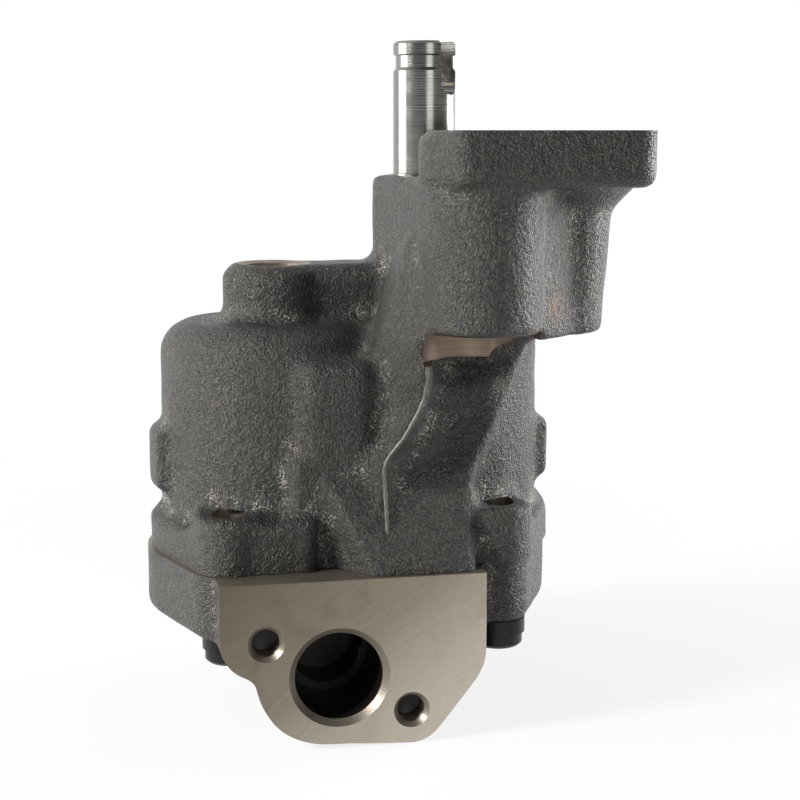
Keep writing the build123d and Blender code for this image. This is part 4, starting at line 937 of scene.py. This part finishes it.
PLUG_CHAMFER = 0.0006
PLUG_SOCKET = 0.008
PLUG_SOCKET_DEPTH = 0.005
SOCKET_LEAD = 0.0003
SOCKET_FLARE = 0.0008
socket_corner = PLUG_SOCKET / math.sqrt(3)
socket_outline = [(socket_corner * math.cos(math.pi * i / 3), socket_corner * math.sin(math.pi * i / 3))
                  for i in range(6)]
relief_plug = turned("relief_plug_turned", [
    (RELIEF_PLUG_RADIUS, plug_low.x), (RELIEF_PLUG_RADIUS, plug_high.x - PLUG_CHAMFER),
    (RELIEF_PLUG_RADIUS - PLUG_CHAMFER, plug_high.x)], RELIEF_PLACE, X_AXIS, black_oxide)
machine(relief_plug, [
    prism("plug_socket", socket_outline, plug_high.x - PLUG_SOCKET_DEPTH, plug_high.x + OVERCUT,
          Matrix.Rotation(math.pi / 2, 4, "Y"), RELIEF_PLACE, black_oxide),
    turned("socket_lead", [(PLUG_SOCKET / 2, plug_high.x - SOCKET_LEAD),
                           (PLUG_SOCKET / 2 + SOCKET_FLARE, plug_high.x + SOCKET_LEAD)],
           RELIEF_PLACE, X_AXIS, black_oxide, HOLE_STEPS),
])
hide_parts("relief_plug")
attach(relief_plug, "pump")

# ---- cover screws
# Five socket-head screws of black-oxided alloy steel hold the cover. One screw is modelled by its
# sizes and set at each place, head down and shank up into the housing.
HEAD_RADIUS = 0.0049
HEAD_HEIGHT = 0.0035
HEAD_EDGE = 0.0006
HEAD_STEPS = 64
SOCKET_WIDTH = 0.004
SOCKET_DEPTH = 0.0022
TURN_SEED = 7
screw_low, screw_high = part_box("cover_screw_rear_middle")
SCREW_SEAT_Z = screw_low.z + HEAD_HEIGHT
SHANK_LENGTH = screw_high.z - SCREW_SEAT_Z



def raised(tree, shape, height):
    """A shape moved up its own Z by a height."""
    place = add_node(tree, "ShaderNodeCombineXYZ", {"Z": height})
    return add_node(tree, "GeometryNodeTransform", {"Geometry": shape, "Translation": place})


tree, given = sized_tree("socket_head_screw", ["Head Radius", "Head Height", "Head Edge", "Socket Width",
                                               "Socket Depth", "Shank Radius", "Shank Length"])
face_radius = add_node(tree, "ShaderNodeMath", {0: given["Head Radius"], 1: given["Head Edge"]},
                       operation="SUBTRACT")
side = add_node(tree, "ShaderNodeMath", {0: given["Head Height"], 1: given["Head Edge"]},
                operation="SUBTRACT")
side_middle = add_node(tree, "ShaderNodeMath", {0: side, 1: -0.5}, operation="MULTIPLY")
face = add_node(tree, "ShaderNodeMath", {0: given["Head Height"], 1: -1.0}, operation="MULTIPLY")
shank_middle = add_node(tree, "ShaderNodeMath", {0: given["Shank Length"], 1: 0.5}, operation="MULTIPLY")
corner = add_node(tree, "ShaderNodeMath", {0: given["Socket Width"], 1: 1 / math.sqrt(3)},
                  operation="MULTIPLY")
socket_length = add_node(tree, "ShaderNodeMath", {0: given["Socket Depth"], 1: 2.0}, operation="MULTIPLY")
head = add_node(tree, "GeometryNodeMeshCylinder", {"Vertices": HEAD_STEPS, "Radius": given["Head Radius"],
                                                   "Depth": side})
edge = add_node(tree, "GeometryNodeMeshCone", {
    "Vertices": HEAD_STEPS, "Radius Top": given["Head Radius"], "Radius Bottom": face_radius,
    "Depth": given["Head Edge"]})
shank = add_node(tree, "GeometryNodeMeshCylinder", {
    "Vertices": HOLE_STEPS, "Radius": given["Shank Radius"], "Depth": given["Shank Length"]})
blank = [raised(tree, head, side_middle), raised(tree, edge, face), raised(tree, shank, shank_middle)]
blank = add_node(tree, "GeometryNodeMeshBoolean", {1: blank}, operation="UNION", solver="MANIFOLD")
socket = add_node(tree, "GeometryNodeMeshCylinder", {"Vertices": 6, "Radius": corner, "Depth": socket_length})
screw = add_node(tree, "GeometryNodeMeshBoolean", {0: blank, 1: raised(tree, socket, face)},
                 operation="DIFFERENCE", solver="MANIFOLD")
turn = add_node(tree, "FunctionNodeRandomValue", {"Max": (0.0, 0.0, 1.0), "Seed": TURN_SEED},
                data_type="FLOAT_VECTOR")
set_out = add_node(tree, "GeometryNodeInstanceOnPoints", {"Points": given["Places"], "Instance": screw,
                                                          "Rotation": turn})
end_tree(tree, given, set_out)
screw_places = [(centre_of(node).x, centre_of(node).y, SCREW_SEAT_Z) for node in screw_nodes]
screws = grown("cover_screws", tree, screw_places, {
    "Head Radius": HEAD_RADIUS, "Head Height": HEAD_HEIGHT, "Head Edge": HEAD_EDGE,
    "Socket Width": SOCKET_WIDTH, "Socket Depth": SOCKET_DEPTH, "Shank Radius": SCREW_RADIUS,
    "Shank Length": SHANK_LENGTH}, black_oxide)
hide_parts(*screw_nodes)
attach(screws, "pump")

# ---- lock washers
# Five split spring washers, coiled from square-edged wire and black-oxided, lie flat under the heads.
# Each is an open ring of the wire's section, with its split towards the back.
washer_nodes = sorted(node for node in frame["nodes"] if node.startswith("lock_washer_"))
washer_low, washer_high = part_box(washer_nodes[0])
WASHER_WIRE = 0.0029
WASHER_RADIUS = (0.0066 + WASHER_WIRE) / 2
WASHER_STEPS = 73
SPLIT_WIDTH = 0.0009
SPLIT_START = math.radians(110)

tree, given = sized_tree("split_washer", ["Mean Radius", "Wire Width", "Wire Height", "Start", "Sweep"])
ring = add_node(tree, "GeometryNodeCurveArc", {"Resolution": WASHER_STEPS, "Radius": given["Mean Radius"],
                                               "Start Angle": given["Start"], "Sweep Angle": given["Sweep"]})
section = add_node(tree, "GeometryNodeCurvePrimitiveQuadrilateral", {"Width": given["Wire Height"],
                                                                     "Height": given["Wire Width"]})
wire = add_node(tree, "GeometryNodeCurveToMesh", {"Curve": ring, "Profile Curve": section, "Fill Caps": True})
set_out = add_node(tree, "GeometryNodeInstanceOnPoints", {"Points": given["Places"], "Instance": wire})
end_tree(tree, given, set_out)
washers = grown("lock_washers", tree, [centre_of(node) for node in washer_nodes], {
    "Mean Radius": WASHER_RADIUS, "Wire Width": WASHER_WIRE, "Wire Height": washer_high.z - washer_low.z,
    "Start": SPLIT_START, "Sweep": 2 * math.pi - SPLIT_WIDTH / WASHER_RADIUS}, black_oxide)
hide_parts(*washer_nodes)
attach(washers, "pump")
